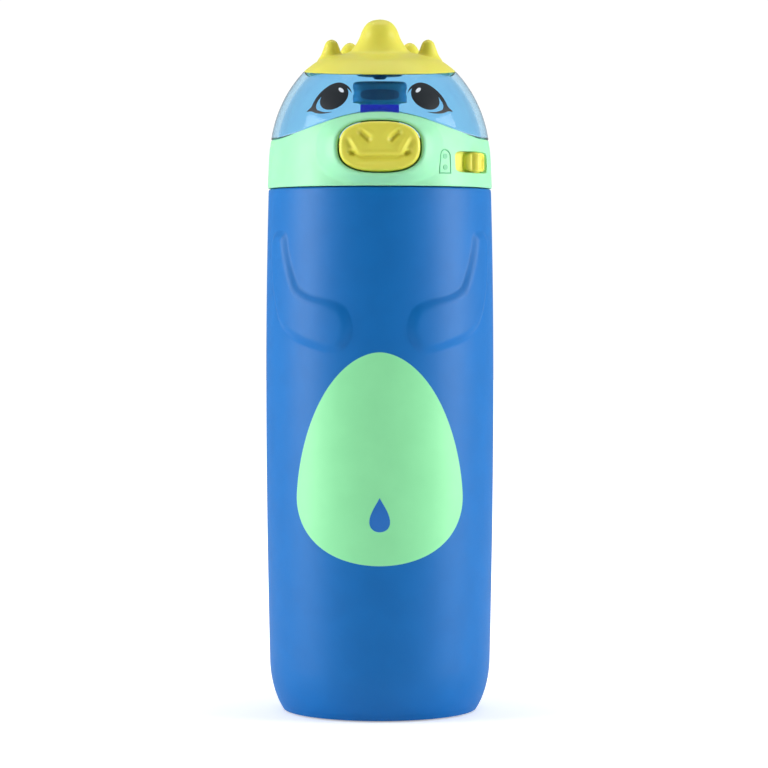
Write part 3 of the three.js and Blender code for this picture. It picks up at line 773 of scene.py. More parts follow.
    def build_pad(self) -> Piece:
        """The foot pad, with three shallow rings in its underside."""
        radius = np.concatenate([[0.0], np.linspace(1, 26.8, 130)])
        rings = smooth_max(np.cos(radius * 0.73) - 0.72, np.zeros_like(radius), 0.05)
        under = np.stack([radius, 1.6 * rings], axis=1)
        under[:, 1] -= under[:, 1].min()
        return turned("foot_pad", np.vstack([under, self.pad_edge]), 96)

    def build(self) -> None:
        """Builds and dresses the steel bottle."""
        dress(self.build_shell(), Look.BLUE_COAT, Body.BOTTLE, "outer_shell")
        dress(self.build_thread(), Look.BLUE_COAT, Body.BOTTLE)
        dress(self.build_egg(), Look.MINT_INK, Body.BOTTLE)
        dress(self.build_mark(), Look.BLUE_INK, Body.BOTTLE)
        dress(self.build_pad(), Look.GREY, Body.BOTTLE, "base_pad")


# ---------- the lid's shared shape ----------


@dataclass
class LidShape:
    """The egg-like outside that the collar and the dome share, and their parting line."""

    radius: float = 34.3
    rise: float = 37.6
    centre_z: float = 172.0
    flare: float = 0.6
    flare_top: float = 176.5
    flare_height: float = 13.0
    flare_power: float = 0.8
    parting_z: float = 177.7
    wave_rise: float = 7.4
    wave_span: float = 71.0
    gap: float = 0.5

    def wave(self, bearing: Array) -> Array:
        """Height of the parting line: level, with half a cosine wave's swell at the front."""
        turn = np.abs(np.degrees(bearing))
        swell = 0.5 * (1 + np.cos(math.pi * np.clip(turn / self.wave_span, 0, 1)))
        return self.parting_z + self.wave_rise * swell

    def egg(self, height: Array, inset: float = 0.0) -> Array:
        """Radius of the ellipsoid at a height, straight below its centre."""
        up = np.clip(height - self.centre_z, 0, None) / (self.rise - inset)
        return (self.radius - inset) * np.sqrt(np.clip(1 - up**2, 0, 1))

    def collar(self, height: Array) -> Array:
        """Radius of the collar: the ellipsoid, flared towards the bottle."""
        low = np.clip((self.flare_top - height) / self.flare_height, 0, 1)
        return self.egg(height) + self.flare * low**self.flare_power


# ---------- the collar ----------


@dataclass(frozen=True)
class Opening:
    """A rounded opening through the collar.

    Attributes:
        bearing: The direction it faces, in degrees.
        height: Height of its centre.
        half_width: Half of its width.
        half_height: Half of its height.
        power: Squareness of its outline.
        lip: Radius of its rounded edge.
        columns: The first and last column of the collar's grid that it takes up.
        rows: The first and last row of the collar's grid that it takes up.
    """

    bearing: float
    height: float
    half_width: float
    half_height: float
    power: float
    lip: float
    columns: tuple[int, int]
    rows: tuple[int, int]


@dataclass
class Collar:
    """The mint collar: wavy top edge, snout swelling, button opening and lock slot."""

    shape: LidShape
    bottom: float = 162.85
    bore: float = 32.9
    wall: float = 1.7
    round_over: float = 0.3
    snout: Triple = (19.0, 4.25, 11.0)
    snout_z: float = 174.2
    snout_power: float = 2.5
    column_count: int = 360
    row_count: int = 31
    snout_edge: Pair = (0.22, 1.12)
    sign: tuple[float, float, float, float] = (18.9, 22.9, 166.8, 173.9)
    sign_dots: Pair = (171.9, 168.6)
    dot_radius: float = 0.8
    button: Opening = Opening(0, 174.5, 12.62, 7.96, 2.6, 1.3, (154, 206), (1, 29))
    slot: Opening = Opening(57.35, 170.4, 9.3, 3.2, 6.0, 0.35, (218, 257), (4, 23))

    def outer_radius(self, bearing: Array, height: Array) -> Array:
        """The outside: the shared shape and a soft-edged swelling round the button."""
        plain = self.shape.collar(height) + 0 * bearing
        half_width, rise, half_height = self.snout
        behind = 9.0 * (np.cos(bearing) < 0)  # moves the back half out of the swelling's reach
        across = np.abs(plain * np.sin(bearing)) / half_width + behind
        up = np.abs(height - self.snout_z) / half_height
        far = across**self.snout_power + up**self.snout_power
        return plain + rise * (1 - smooth_step(far, *self.snout_edge))

    def inner_radius(self, bearing: Array, height: Array) -> Array:
        """The inside: a plain bore that narrows to follow the raised front."""
        return np.minimum(self.bore, self.shape.collar(height) - self.wall) + 0 * bearing

    def grids(self) -> tuple[Array, Array]:
        """Points of the outside and of the inside, rows upwards and columns from the back."""
        bearing = np.radians(np.arange(self.column_count) - 180.0)[None]
        v = np.linspace(0, 1, self.row_count)[:, None]
        low = self.bottom + self.round_over
        height = low + v * (self.shape.wave(bearing) - self.round_over - low)
        outer = wrap(bearing, self.outer_radius(bearing, height), height)
        inner = wrap(bearing, self.inner_radius(bearing, height), height)
        return outer, inner

    def rim(self, outer: Array, inner: Array, up: float) -> Array:
        """Rows that round over from an outside edge row to an inside edge row."""
        angle = np.linspace(0, QUARTER_TURN, 5)[:, None, None]
        inwards = -outer * [1, 1, 0]
        inwards /= np.linalg.norm(inwards, axis=-1, keepdims=True)
        lift = np.array([0, 0, up * self.round_over])
        first = outer + inwards * self.round_over * (1 - np.cos(angle)) + lift * np.sin(angle)
        last = inner - inwards * self.round_over * (1 - np.cos(angle)) + lift * np.sin(angle)
        return np.concatenate([first, last[::-1]])

    def outward(self, radius: Surface, across: Array, height: Array, bearing: float) -> Array:
        """Distance out to a surface along an opening's own direction, found by repetition."""
        distance = np.full(np.broadcast(across, height).shape, self.shape.radius - 0.3)
        for _ in range(8):
            turn = np.arctan2(across, distance) + bearing
            reach = radius(turn, height)
            distance = np.sqrt(np.clip(reach**2 - across**2, 1, None))
        return distance

    def opening_rows(self, hole: Opening, outer: Array, inner: Array) -> Array:
        """Rings of points from the outside, over the lip, down the wall and to the inside."""
        bearing = math.radians(hole.bearing)
        turn_back = facing(hole.bearing)
        loops = [self.loop(grid, hole) @ turn_back.T for grid in (outer, inner)]
        angle = np.arctan2(loops[0][:, 2] - hole.height, loops[0][:, 0])
        centre = [0, hole.height]

        def outline(grow: float) -> Array:
            """The opening's outline, larger by grow."""
            halves = (hole.half_width + grow, hole.half_height + grow)
            return superellipse(angle, *halves, hole.power) + centre

        def ring(plan: Array, radius: Surface, sink: float = 0.0) -> Array:
            """Points over a plan outline on a surface, sunk by a depth."""
            distance = self.outward(radius, plan[:, 0], plan[:, 1], bearing) - sink
            return np.stack([plan[:, 0], -distance, plan[:, 1]], axis=1)

        rings = [loops[0]]
        ease = np.sin(np.linspace(0, QUARTER_TURN, 13)[1:])
        lip = outline(hole.lip)
        rings += [ring(loops[0][:, ::2] * (1 - w) + lip * w, self.outer_radius) for w in ease]
        for turn in np.linspace(0, QUARTER_TURN, 7)[1:]:
            edge = outline(hole.lip * (1 - math.sin(turn)))
            rings.append(ring(edge, self.outer_radius, hole.lip * (1 - math.cos(turn))))
        plan = outline(0)
        reach = self.outward(self.inner_radius, plan[:, 0], plan[:, 1], bearing)
        depth = rings[-1] * [1, 0, 1] - [0, 1, 0] * reach[:, None]
        rings += [rings[-1] * (1 - w) + depth * w for w in (0.33, 0.67, 1.0)]
        inner_plan = loops[1][:, ::2]
        rings += [ring(plan * (1 - w) + inner_plan * w, self.inner_radius) for w in (0.25, 0.5, 0.75)]
        rings.append(loops[1])
        return np.stack(rings) @ turn_back

    def loop(self, grid: Array, hole: Opening) -> Array:
        """The grid's points round an opening's block, in order."""
        (i0, i1), (j0, j1) = hole.columns, hole.rows
        return np.concatenate([
            grid[j0, i0:i1],
            grid[j0:j1, i1],
            grid[j1, i1:i0:-1],
            grid[j1:j0:-1, i0],
        ])

    def build_collar(self) -> Piece:
        """The collar: two grids with blocks left out, rims between them and rings in the blocks."""
        outer, inner = self.grids()
        skin = Skin()
        keep = np.ones((self.row_count - 1, self.column_count), bool)
        for hole in (self.button, self.slot):
            keep[hole.rows[0]:hole.rows[1], hole.columns[0]:hole.columns[1]] = False
            skin.patch(self.opening_rows(hole, outer, inner), around=True)
        for grid in (outer, inner):
            skin.sew(skin.add_points(grid), around=True, keep=keep)
        skin.patch(self.rim(outer[-1], inner[-1], 1), around=True)
        skin.patch(self.rim(outer[0], inner[0], -1), around=True)
        return skin.to_object("mint_collar", 40)

    def on_collar(self, bearing_mm: Array, height: Array, lift: Array | float) -> Array:
        """Points on the collar's outside at a distance round it, lifted off it."""
        bearing = bearing_mm / self.shape.radius
        return wrap(bearing, self.outer_radius(bearing, height) + lift, height)

    def build_lock_sign(self) -> list[Piece]:
        """A small raised lock sign: an arched outline and two dots that show the two places, in a darker
        mint that paints the relief's shade.
        """
        left, right, low, high = self.sign
        middle, half = 0.5 * (left + right), 0.5 * (right - left)
        arch = np.linspace(math.pi, 0, 25)
        top = np.stack([middle + half * np.cos(arch), high - half + half * np.sin(arch)], axis=1)
        corner = 0.15
        path = np.vstack([
            [(left, low), (left, low + corner)], top, [(right, low + corner), (right, low)],
            [(right - corner, low), (left + corner, low), (left, low)],
        ])
        line = resample(path, 160)
        points = self.on_collar(line[:, 0], line[:, 1], 0.02)
        pieces = [swept("lock_sign_outline", points, 0.2, 8)]
        for name, height in zip(("upper", "lower"), self.sign_dots):
            angle = np.linspace(0, math.pi, 17)
            half_width = self.dot_radius * np.sin(angle)
            rows = height - self.dot_radius * np.cos(angle)
            sides = [np.stack([middle + side * half_width, rows], axis=1) for side in (-1, 1)]
            pieces.append(laid_on(f"lock_sign_{name}_dot", self.on_collar, *sides, 12, 0.14))
        return pieces

    def build(self) -> None:
        """Builds and dresses the collar and its sign."""
        dress(self.build_collar(), Look.MINT, Body.LID, "lid_collar")
        # The sign gets the darker mint: painted shade, the same plastic as the collar.
        for piece in self.build_lock_sign():
            dress(piece, Look.MINT_SIGN_SHADE, Body.LID)


# ---------- the lid's inserts ----------


def capped(
    name: str,
    outline: Array,
    front: Callable[[Array, Array], Array],
    back: float,
    bearing: float,
    height: float,
    rings: int = 60,
) -> Piece:
    """A push cap: an outline with a modelled front, a straight wall and a flat back.

    Args:
        name: The piece's name.
        outline: The outline's points round its centre, as rows of across and up.
        front: Gives the front's distance from the axis, from plan points and their share of
            the way from the centre to the outline.
        back: The back's distance from the axis.
        bearing: The direction it faces, in degrees.
        height: Height of its centre.
        rings: Rings of points in the front.

    Returns:
        The new object.
    """
    share = np.sin(np.linspace(0, QUARTER_TURN, rings))[:, None, None]
    plan = outline * share
    distance = front(plan, share[..., 0])
    rows = [np.stack([plan[..., 0], -distance, plan[..., 1]], axis=-1)]
    edge = rows[0][-1]
    for w in (0.35, 0.7, 1.0):
        wall = edge * [1, 1 - w, 1] - [0, w * back, 0]
        rows.append(wall[None])
    for w in (0.66, 0.33, 0.0):
        rows.append((rows[3][0] * [w, 1, w])[None])
    grid = np.concatenate(rows) + [0, 0, height]
    return hull(name, grid @ facing(bearing), 55)


def slab(name: str, outline: Array, low: float, high: float, edge: float = 0.3) -> Piece:
    """A flat piece with a (y, z) outline and rounded edges, from one x to another."""
    centre = outline.mean(axis=0)
    arm = outline - centre
    reach = np.linalg.norm(arm, axis=1, keepdims=True)
    turn = np.linspace(0, QUARTER_TURN, 5)
    insets, depths = edge * (1 - np.sin(turn)), edge * (1 - np.cos(turn))
    half_way = 0.5 * (1 - edge / reach)
    near = [(np.zeros_like(reach), 0.0), (half_way, 0.0)]
    near += [(1 - inset / reach, depth) for inset, depth in zip(insets, depths)]
    steps = [(share, low + depth) for share, depth in near]
    steps += [(share, high - depth) for share, depth in near[::-1]]
    rows = [
        np.column_stack([np.full(len(outline), x), centre + arm * share]) for share, x in steps
    ]
    return hull(name, np.stack(rows), 50)


@dataclass
class Hinge:
    """The dome's hinge at the back: collar ears, dome knuckles, pin and spring."""

    y: float = 36.4
    z: float = 180.0
    barrel: float = 2.6
    hole: float = 1.3
    pin: float = 1.0
    knuckle: Pair = (3.0, 6.5)
    ear: Pair = (7.0, 10.5)
    coil: float = 1.7
    coil_length: float = 4.6
    coil_turns: float = 4

    gusset: tuple[Triple, ...] = (
        (32.6, 166.9, 0.6), (35.4, 169.2, 1.2), (37.6, 173.0, 1.6),
        (38.9, 178.0, 0.8), (38.4, 178.6, 0.2), (34.2, 178.6, 0.4), (32.6, 176.8, 0.6),
    )
    strap: tuple[Triple, ...] = (
        (31.7, 179.6, 0.3), (34.4, 179.5, 0.2), (34.4, 182.2, 0.5), (31.7, 182.4, 0.3),
    )

    def round_axis(self, name: str, profile: Array, segments: int = 40) -> Piece:
        """A closed (radius, x) profile carried round the hinge's axis."""
        turn = np.linspace(0, FULL_TURN, segments, endpoint=False)[None]
        radius, x = profile[:, :1], profile[:, 1:]
        y, z = self.y + radius * np.sin(turn), self.z + radius * np.cos(turn)
        grid = np.stack(np.broadcast_arrays(x, y, z), axis=-1)
        return hull(name, np.concatenate([grid, grid[:1]]))

    def ring(self, name: str, low: float, high: float) -> Piece:
        """One knuckle's round part, with the pin's hole."""
        corners = [
            (self.hole, low, 0.1), (self.barrel, low, 0.35),
            (self.barrel, high, 0.35), (self.hole, high, 0.1),
        ]
        return self.round_axis(name, rounded(corners))

    def build(self) -> None:
        """Builds and dresses both halves of the hinge, its pin and its spring."""
        gusset, strap = rounded(self.gusset), rounded(self.strap)
        for side, label in ((-1, "left"), (1, "right")):
            low, high = sorted(side * x for x in self.ear)
            dress(self.ring(f"hinge_ear_{label}", low, high), Look.MINT, Body.LID)
            dress(slab(f"hinge_gusset_{label}", gusset, low, high, 0.4), Look.MINT, Body.LID)
            low, high = sorted(side * x for x in self.knuckle)
            dress(self.ring(f"dome_knuckle_{label}", low, high), Look.CLEAR_BLUE, Body.DOME)
            dress(slab(f"dome_strap_{label}", strap, low, high), Look.CLEAR_BLUE, Body.DOME)
        head = rounded([
            (0, -10.5, 0), (0.8, -10.5, 0.2), (self.pin, -10.2, 0.1),
            (self.pin, 10.2, 0.1), (0.8, 10.5, 0.2), (0, 10.5, 0),
        ])
        dress(self.round_axis("steel_hinge_pin", head, 32), Look.STEEL, Body.LID, "hinge_pin")
        turn = np.linspace(0, FULL_TURN * self.coil_turns, 260)
        x = turn / turn[-1] * self.coil_length - 0.5 * self.coil_length
        y, z = self.y + self.coil * np.sin(turn), self.z + self.coil * np.cos(turn)
        spring = swept("hinge_coil", np.stack([x, y, z], axis=1), 0.3, 10)
        dress(spring, Look.STEEL, Body.LID, "hinge_spring")


@dataclass
class Inserts:
    """The lid's inner parts: deck, gasket, air valve, drinking spout and straw."""

    spout_side: float = 8.4
    spout_depth: float = 5.5
    spout_top: float = 196.0
    spout_power: float = 2.9
    spout_lip: float = 1.1
    waist: float = 5.35
    waist_z: float = 188.0
    deck_front: float = -29.5
    # The dark patch's half width, half height, squareness and middle height; the patch is painted shade.
    slit: tuple[float, float, float, float] = (6.0, 1.6, 3.2, 191.8)
    coil_start: Triple = (7.0, -32.8, 171.0)
    coil: float = 1.6
    coil_wire: float = 0.32
    coil_length: float = 4.0
    coil_turns: float = 3.5
    coil_keep: float = 0.45

    deck: tuple[Triple, ...] = (
        (6.0, 175.4, 0.1), (27.2, 175.4, 0.2), (27.2, 164.6, 0.2), (28.6, 164.6, 0.2),
        (28.6, 175.4, 0.3), (32.5, 175.4, 0.2), (32.5, 177.4, 0.3), (26.6, 177.4, 0.5),
        (25.6, 176.9, 0.5), (10.6, 176.9, 0.5), (9.8, 177.4, 0.4), (6.0, 177.4, 0.2),
    )
    straw: tuple[Triple, ...] = (
        (2.5, 9.5, 0.2), (3.2, 9.5, 0.2), (3.2, 175.5, 0.2), (2.5, 175.5, 0.2),
    )
    stem: tuple[Pair, ...] = (
        (2.0, 167.5), (5.0, 167.5), (5.6, 168.3), (5.6, 171.4), (7.1, 172.3), (7.2, 175.0),
        (5.7, 175.1), (5.6, 177.6), (5.7, 177.72), (9.0, 177.72), (9.2, 177.9), (9.2, 178.5),
        (8.8, 178.8), (7.2, 179.4), (6.2, 180.4), (5.5, 182.4), (5.2, 184.4), (5.2, 186.6),
        (5.35, 188.0),
    )

    def build_deck(self) -> Piece:
        """The liner: a dished deck and the skirt under it, cut flat in front for the latch."""
        deck = turned("lid_deck", rounded(self.deck), 160)
        for vertex in deck.data.vertices:
            vertex.co.y = max(vertex.co.y, self.deck_front * MM)
        return deck

    def build_springs(self) -> None:
        """The button's two return springs: steel coils, each given its own mesh."""
        turn = np.linspace(0, FULL_TURN * self.coil_turns, 240)
        middle_x, front_y, middle_z = self.coil_start
        y = front_y + self.coil_length * turn / turn[-1]
        z = middle_z + self.coil * np.sin(turn)
        for side, label in ((-1, "left"), (1, "right")):
            x = side * middle_x + self.coil * np.cos(turn)
            spring = swept(f"return_coil_{label}", np.stack([x, y, z], axis=1), self.coil_wire, 10)
            dress(spring, Look.STEEL, Body.LID, f"button_spring_{label}")
            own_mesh(spring)

    def build_spout(self) -> Piece:
        """The spout: a round stem that turns into a wide, soft bite end with a drinking hole."""
        turn = np.linspace(0, FULL_TURN, 96, endpoint=False)
        rows = [wrap(turn, radius, z) for radius, z in self.stem]
        for share in np.linspace(0, QUARTER_TURN, 9)[1:]:
            open_out = 1 - math.cos(share)
            wide = self.waist + (self.spout_side - self.waist) * open_out
            deep = self.waist + (self.spout_depth - self.waist) * open_out
            plan = superellipse(turn - QUARTER_TURN, wide, deep, 2 + 0.9 * open_out)
            rows.append(np.column_stack([plan, np.full(len(turn), self.waist_z + 1.7 * math.sin(share))]))
        lip_z = self.spout_top - self.spout_lip
        for inset, drop in ((0, 3.2), (0.25, 2.7), (0.25, 1.5), (0, 1.0)):
            rows.append(self.bite_ring(turn, inset, lip_z - drop))
        for share in np.linspace(0, QUARTER_TURN, 7):
            inset = self.spout_lip * (1 - math.cos(share))
            rows.append(self.bite_ring(turn, inset, lip_z + self.spout_lip * math.sin(share)))
        for radius, drop in ((3.6, 0), (2.4, 0.15), (2.0, 0.6)):
            rows.append(wrap(turn, radius, self.spout_top - drop))
        rows.append(rows[0])
        return hull("bite_spout", np.stack(rows), 40)

    def on_bite_face(self, across: Array, height: Array, lift: Array | float) -> Array:
        """Points on the front of the bite end."""
        share = np.clip(1 - np.abs(across / self.spout_side) ** self.spout_power, 0, 1)
        depth = self.spout_depth * share ** (1 / self.spout_power)
        return np.stack([across, -(depth + lift), height], axis=-1)

    def build_slit_shade(self) -> Piece:
        """A thin dark rounded box laid on the front of the bite end: painted shade standing for a shaded
        slit.
        """
        angle = np.linspace(-QUARTER_TURN, QUARTER_TURN, 61)
        half_width, half_height, power, middle_z = self.slit
        right = superellipse(angle, half_width, half_height, power) + [0, middle_z]
        left = right * [-1, 1]
        return laid_on("bite_slit_painted_shade", self.on_bite_face, left, right, 40, 0.05)

    def bite_ring(self, turn: Array, inset: float, height: float) -> Array:
        """One level ring of the bite end: a rounded box outline, moved in by inset."""
        halves = (self.spout_side - inset, self.spout_depth - inset)
        plan = superellipse(turn - QUARTER_TURN, *halves, self.spout_power)
        return np.column_stack([plan, np.full(len(turn), height)])

    def build(self, frame: dict) -> None:
        """Builds and dresses the inserts."""
        nodes = frame["nodes"]
        dress(self.build_deck(), Look.MINT, Body.LID, "lid_liner")
        dress(self.build_spout(), Look.TEAL, Body.LID, "spout")
        # The dark patch on the bite end is painted shade, in the spout's own silicone.
        dress(self.build_slit_shade(), Look.TEAL_SLIT_SHADE, Body.LID)
        straw = turned("drinking_straw", rounded(self.straw), 48)
        dress(straw, Look.STRAW, Body.LID, "straw")
        self.build_springs()
        for name, look in (
            ("inner_flask", Look.STEEL), ("base_plate", Look.STEEL), ("getter_capsule", Look.STEEL),
            ("lid_gasket", Look.GREY), ("vent_valve", Look.GREY), ("latch_slide", Look.YELLOW),
        ):
            dress_node(nodes[name], look)


# ---------- the push button and the lock ----------


def edge_drop(plan: Array, share: Array, edge: float) -> tuple[Array, Array]:
    """A quarter circle's fall at the edge of a cap's front.

    Args:
        plan: The front's points as across and up, with the outline as the last ring.
        share: Each ring's share of the way from the centre to the outline.
        edge: The quarter circle's radius.

    Returns:
        How near the flat part each point is, from 0 at the outline to 1, and how far it falls.
    """
    reach = np.linalg.norm(plan[-1], axis=-1)[None]
    near = np.clip((1 - share) * reach / edge, 0, 1)
    return near, edge * (1 - np.sqrt(np.clip(1 - (1 - near) ** 2, 0, 1)))


@dataclass
class SnoutButton:
    """The yellow push button: two nostrils, a wide smile and soft cheeks, moulded in.

    Attributes:
        bumps: The mirrored ovals of its face: height, place, lean in degrees and half sizes of
            the cheek, the brow, the nostril, the mouth's corner and the dish beside it.
    """

    half_width: float = 12.2
    half_height: float = 7.55
    power: float = 2.6
    height: float = 174.5
    front_distance: float = 37.6
    back_distance: float = 35.2
    edge: float = 1.2

    bumps: tuple[tuple[float, Pair, float, Pair], ...] = (
        (0.5, (7.3, 0.5), 58, (2.6, 0.75)),
        (0.2, (4.1, 4.9), 30, (2.6, 0.7)),
        (-1.25, (4.6, 3.1), 42, (2.2, 0.95)),
        (-0.9, (8.5, -1.9), 25, (1.25, 0.75)),
        (-0.35, (9.1, 0.7), 62, (2.0, 0.9)),
    )

    def relief(self, across: Array, up: Array) -> Array:
        """Height of the moulded face over the plain front."""
        side = np.abs(across)
        total = sum(depth * self.bump(side, up, *form) for depth, *form in self.bumps)
        smile_z = -3.1 + 1.2 * smooth_step(side, 4.8, 9.0)
        smile = np.exp(-(((up - smile_z) / 0.6) ** 2)) * (1 - smooth_step(side, 8.2, 9.8))
        lip = np.exp(-((side / 6.5) ** 4) - ((up + 1.9) / 0.7) ** 2)
        chin = np.exp(-(((side - 3.0) / 4.0) ** 2) - ((up + 4.6) / 0.8) ** 2)
        return total - 0.7 * smile + 0.25 * lip + 0.3 * chin

    def bump(self, side: Array, up: Array, place: Pair, lean: float, half: Pair) -> Array:
        """A soft oval bump at a place, leant upwards and outwards by an angle."""
        c, s = rotation(lean)
        along = (side - place[0]) * c + (up - place[1]) * s
        over = (up - place[1]) * c - (side - place[0]) * s
        return np.exp(-((along / half[0]) ** 4) - (over / half[1]) ** 2)

    def front(self, plan: Array, share: Array) -> Array:
        """Distance of the front from the axis: slightly domed, rounded over at the edge."""
        across, up = plan[..., 0], plan[..., 1]
        near, drop = edge_drop(plan, share, self.edge)
        plain = self.front_distance - 0.0042 * across**2 - 0.004 * up**2
        return plain + self.relief(across, up) * smooth_step(near, 0, 1) - drop

    def build(self) -> None:
        """Builds and dresses the button."""
        angle = np.linspace(0, FULL_TURN, 300, endpoint=False)
        outline = superellipse(angle, self.half_width, self.half_height, self.power)
        cap = capped("snout_push_button", outline, self.front, self.back_distance, 0, self.height, 90)
        dress(cap, Look.YELLOW, Body.BUTTON, "snout_button")


@dataclass
class LockSlider:
    """The yellow lock: a curved plate behind the slot and a knob with a finger scoop."""

    plate: tuple[float, float, float, float] = (30.9, 32.4, 166.4, 174.4)
    plate_span: Pair = (33.0, 85.0)
    bearing: float = 58.4
    height: float = 170.4
    half_width: float = 3.9
    half_height: float = 2.9
    power: float = 5.0
    back: float = 32.0
    crest: float = 36.3
    edge: float = 0.7
    ramp: Triple = (-4.2, -1.0, 2.3)
    scoop_depth: float = 1.3
    groove_depth: float = 0.35

    def build_plate(self) -> Piece:
        """The plate: a rounded strip carried part of the way round the axis."""
        low, high, under, over = self.plate
        corners = ((low, under), (high, under), (high, over), (low, over))
        section = rounded([(*corner, 0.3) for corner in corners])
        bearing = np.radians(np.linspace(*self.plate_span, 70))
        rows = wrap(bearing[:, None], section[None, :, 0], section[None, :, 1])
        middle = wrap(bearing[[0, -1]], 0.5 * (low + high), 0.5 * (under + over))
        ends = np.repeat(middle[:, None], len(section), axis=1)
        return hull("lock_plate", np.concatenate([ends[:1], rows, ends[1:]]), 50)

    def front(self, plan: Array, share: Array) -> Array:
        """The knob's front: a ramp up to a crest, and an oval scoop on the crest's right."""
        across, up = plan[..., 0], plan[..., 1]
        _, drop = edge_drop(plan, share, self.edge)
        foot, top, fall = self.ramp
        ridge = self.crest - 0.03 * (across + 0.9) ** 2 - fall * (1 - smooth_step(across, foot, top))
        scoop = np.exp(-(((across - 1.35) / 1.8) ** 4) - (up / 2.2) ** 4)
        groove = np.exp(-(((across + 2.6) / 0.35) ** 2))
        return ridge - self.scoop_depth * scoop - self.groove_depth * groove - drop

    def build(self) -> None:
        """Builds and dresses the lock."""
        angle = np.linspace(0, FULL_TURN, 160, endpoint=False)
        outline = superellipse(angle, self.half_width, self.half_height, self.power)
        knob = capped("lock_knob", outline, self.front, self.back, self.bearing, self.height, 50)
        dress(knob, Look.YELLOW, Body.LOCK, "lock_slider")
        dress(self.build_plate(), Look.YELLOW, Body.LOCK)


# ---------- the dome ----------

# Each knob's (distance from its middle, height), running on below the cap.
TALL_KNOB = (
    (0, 16.0), (1.4, 15.87), (2.8, 15.45), (4.2, 14.5), (5.4, 12.7), (6.2, 10.6),
    (7.3, 8.5), (9.0, 6.3), (11.2, 4.4), (14, 2.0), (22, -5), (60, -30),
)
SIDE_KNOB = (
    (0, 9.8), (0.9, 9.55), (1.8, 8.75), (2.5, 7.0), (3.3, 5.0), (4.4, 3.2), (6, 0), (9, -6), (60, -40),
)
BACK_KNOB = (
    (0, 8.5), (0.8, 8.3), (1.6, 7.8), (2.5, 6.7), (3.5, 4.9), (4.7, 3.2), (6.2, 0), (9, -6), (60, -40),
)


@dataclass
class Crown:
    """The yellow crown: a low cap with one tall knob and four small ones."""

    y: float = -2.4
    z: float = 199.26
    lean: float = 5.9
    radius: float = 23.5
    seat_radius: float = 22.6
    seat_edge: float = -0.3
    seat_rise: float = 3.9

    under_radii: tuple[float, ...] = (23.5, 23.4, 23.0, 22.0, 20, 15, 8, 0)
    under_gaps: tuple[float, ...] = (0.22, 0.16, 0.16, 0.3, 0.35, 0.35, 0.35, 0.35)
    blend: float = 0.9

    cap: tuple[Pair, ...] = (
        (0, 6.2), (4, 6.1), (9, 5.7), (13, 5.1), (17, 4.2), (19.6, 2.95), (22.0, 1.25),
        (23.1, 0.35), (23.5, 0.0),
    )
    knobs: tuple[tuple[float, float, tuple[Pair, ...]], ...] = (
        (0, 0, TALL_KNOB),
        (15, 1, SIDE_KNOB),
        (-15, 1, SIDE_KNOB),
        (9.4, 12.5, BACK_KNOB),
        (-9.4, 12.5, BACK_KNOB),
    )

    def placed(self, points: Array) -> Array:
        """Points of the crown's own frame, leant forward and moved to its place."""
        c, s = rotation(self.lean)
        x, y, z = points[..., 0], points[..., 1], points[..., 2]
        return np.stack([x, self.y + y * c - z * s, self.z + y * s + z * c], axis=-1)

    def own(self, points: Array) -> tuple[Array, Array]:
        """The radius and the height of points in the crown's own frame."""
        c, s = rotation(self.lean)
        y, z = points[..., 1] - self.y, points[..., 2] - self.z
        across = y * c + z * s
        return np.hypot(points[..., 0], across), z * c - y * s

    def seat(self, radius: Array) -> Array:
        """Height of the dome's seat: a shallow paraboloid."""
        return self.seat_edge + self.seat_rise * np.clip(1 - (radius / self.seat_radius) ** 2, 0, None)

    def height(self, x: Array, y: Array) -> Array:
        """Height of the top: the cap, with the knobs blended into it."""
        smooth = resample(np.array(self.cap), 200)
        top = np.interp(np.hypot(x, y), smooth[:, 0], smooth[:, 1])
        for knob_x, knob_y, profile in self.knobs:
            curve = resample(np.array(profile, float), 200)
            distance = np.hypot(x - knob_x, y - knob_y)
            knob = np.interp(distance, curve[:, 0], curve[:, 1])
            top = smooth_max(top, knob, self.blend)
        return top

    def build(self) -> None:
        """Builds and dresses the crown."""
        turn = np.linspace(0, FULL_TURN, 400, endpoint=False)[None]
        radius = np.concatenate([np.linspace(0, 22.2, 116), [22.6, 22.9, 23.15, 23.35, self.radius]])
        x, y = radius[:, None] * np.sin(turn), -radius[:, None] * np.cos(turn)
        top = np.stack([x, y, self.height(x, y)], axis=-1)
        under_radius = np.array(self.under_radii)[:, None]
        under_z = self.seat(under_radius) + np.array(self.under_gaps)[:, None]
        under = wrap(turn, under_radius, under_z)
        crown = hull("knobbed_crown", self.placed(np.concatenate([top, under])), 50)
        dress(crown, Look.YELLOW, Body.DOME, "crown")


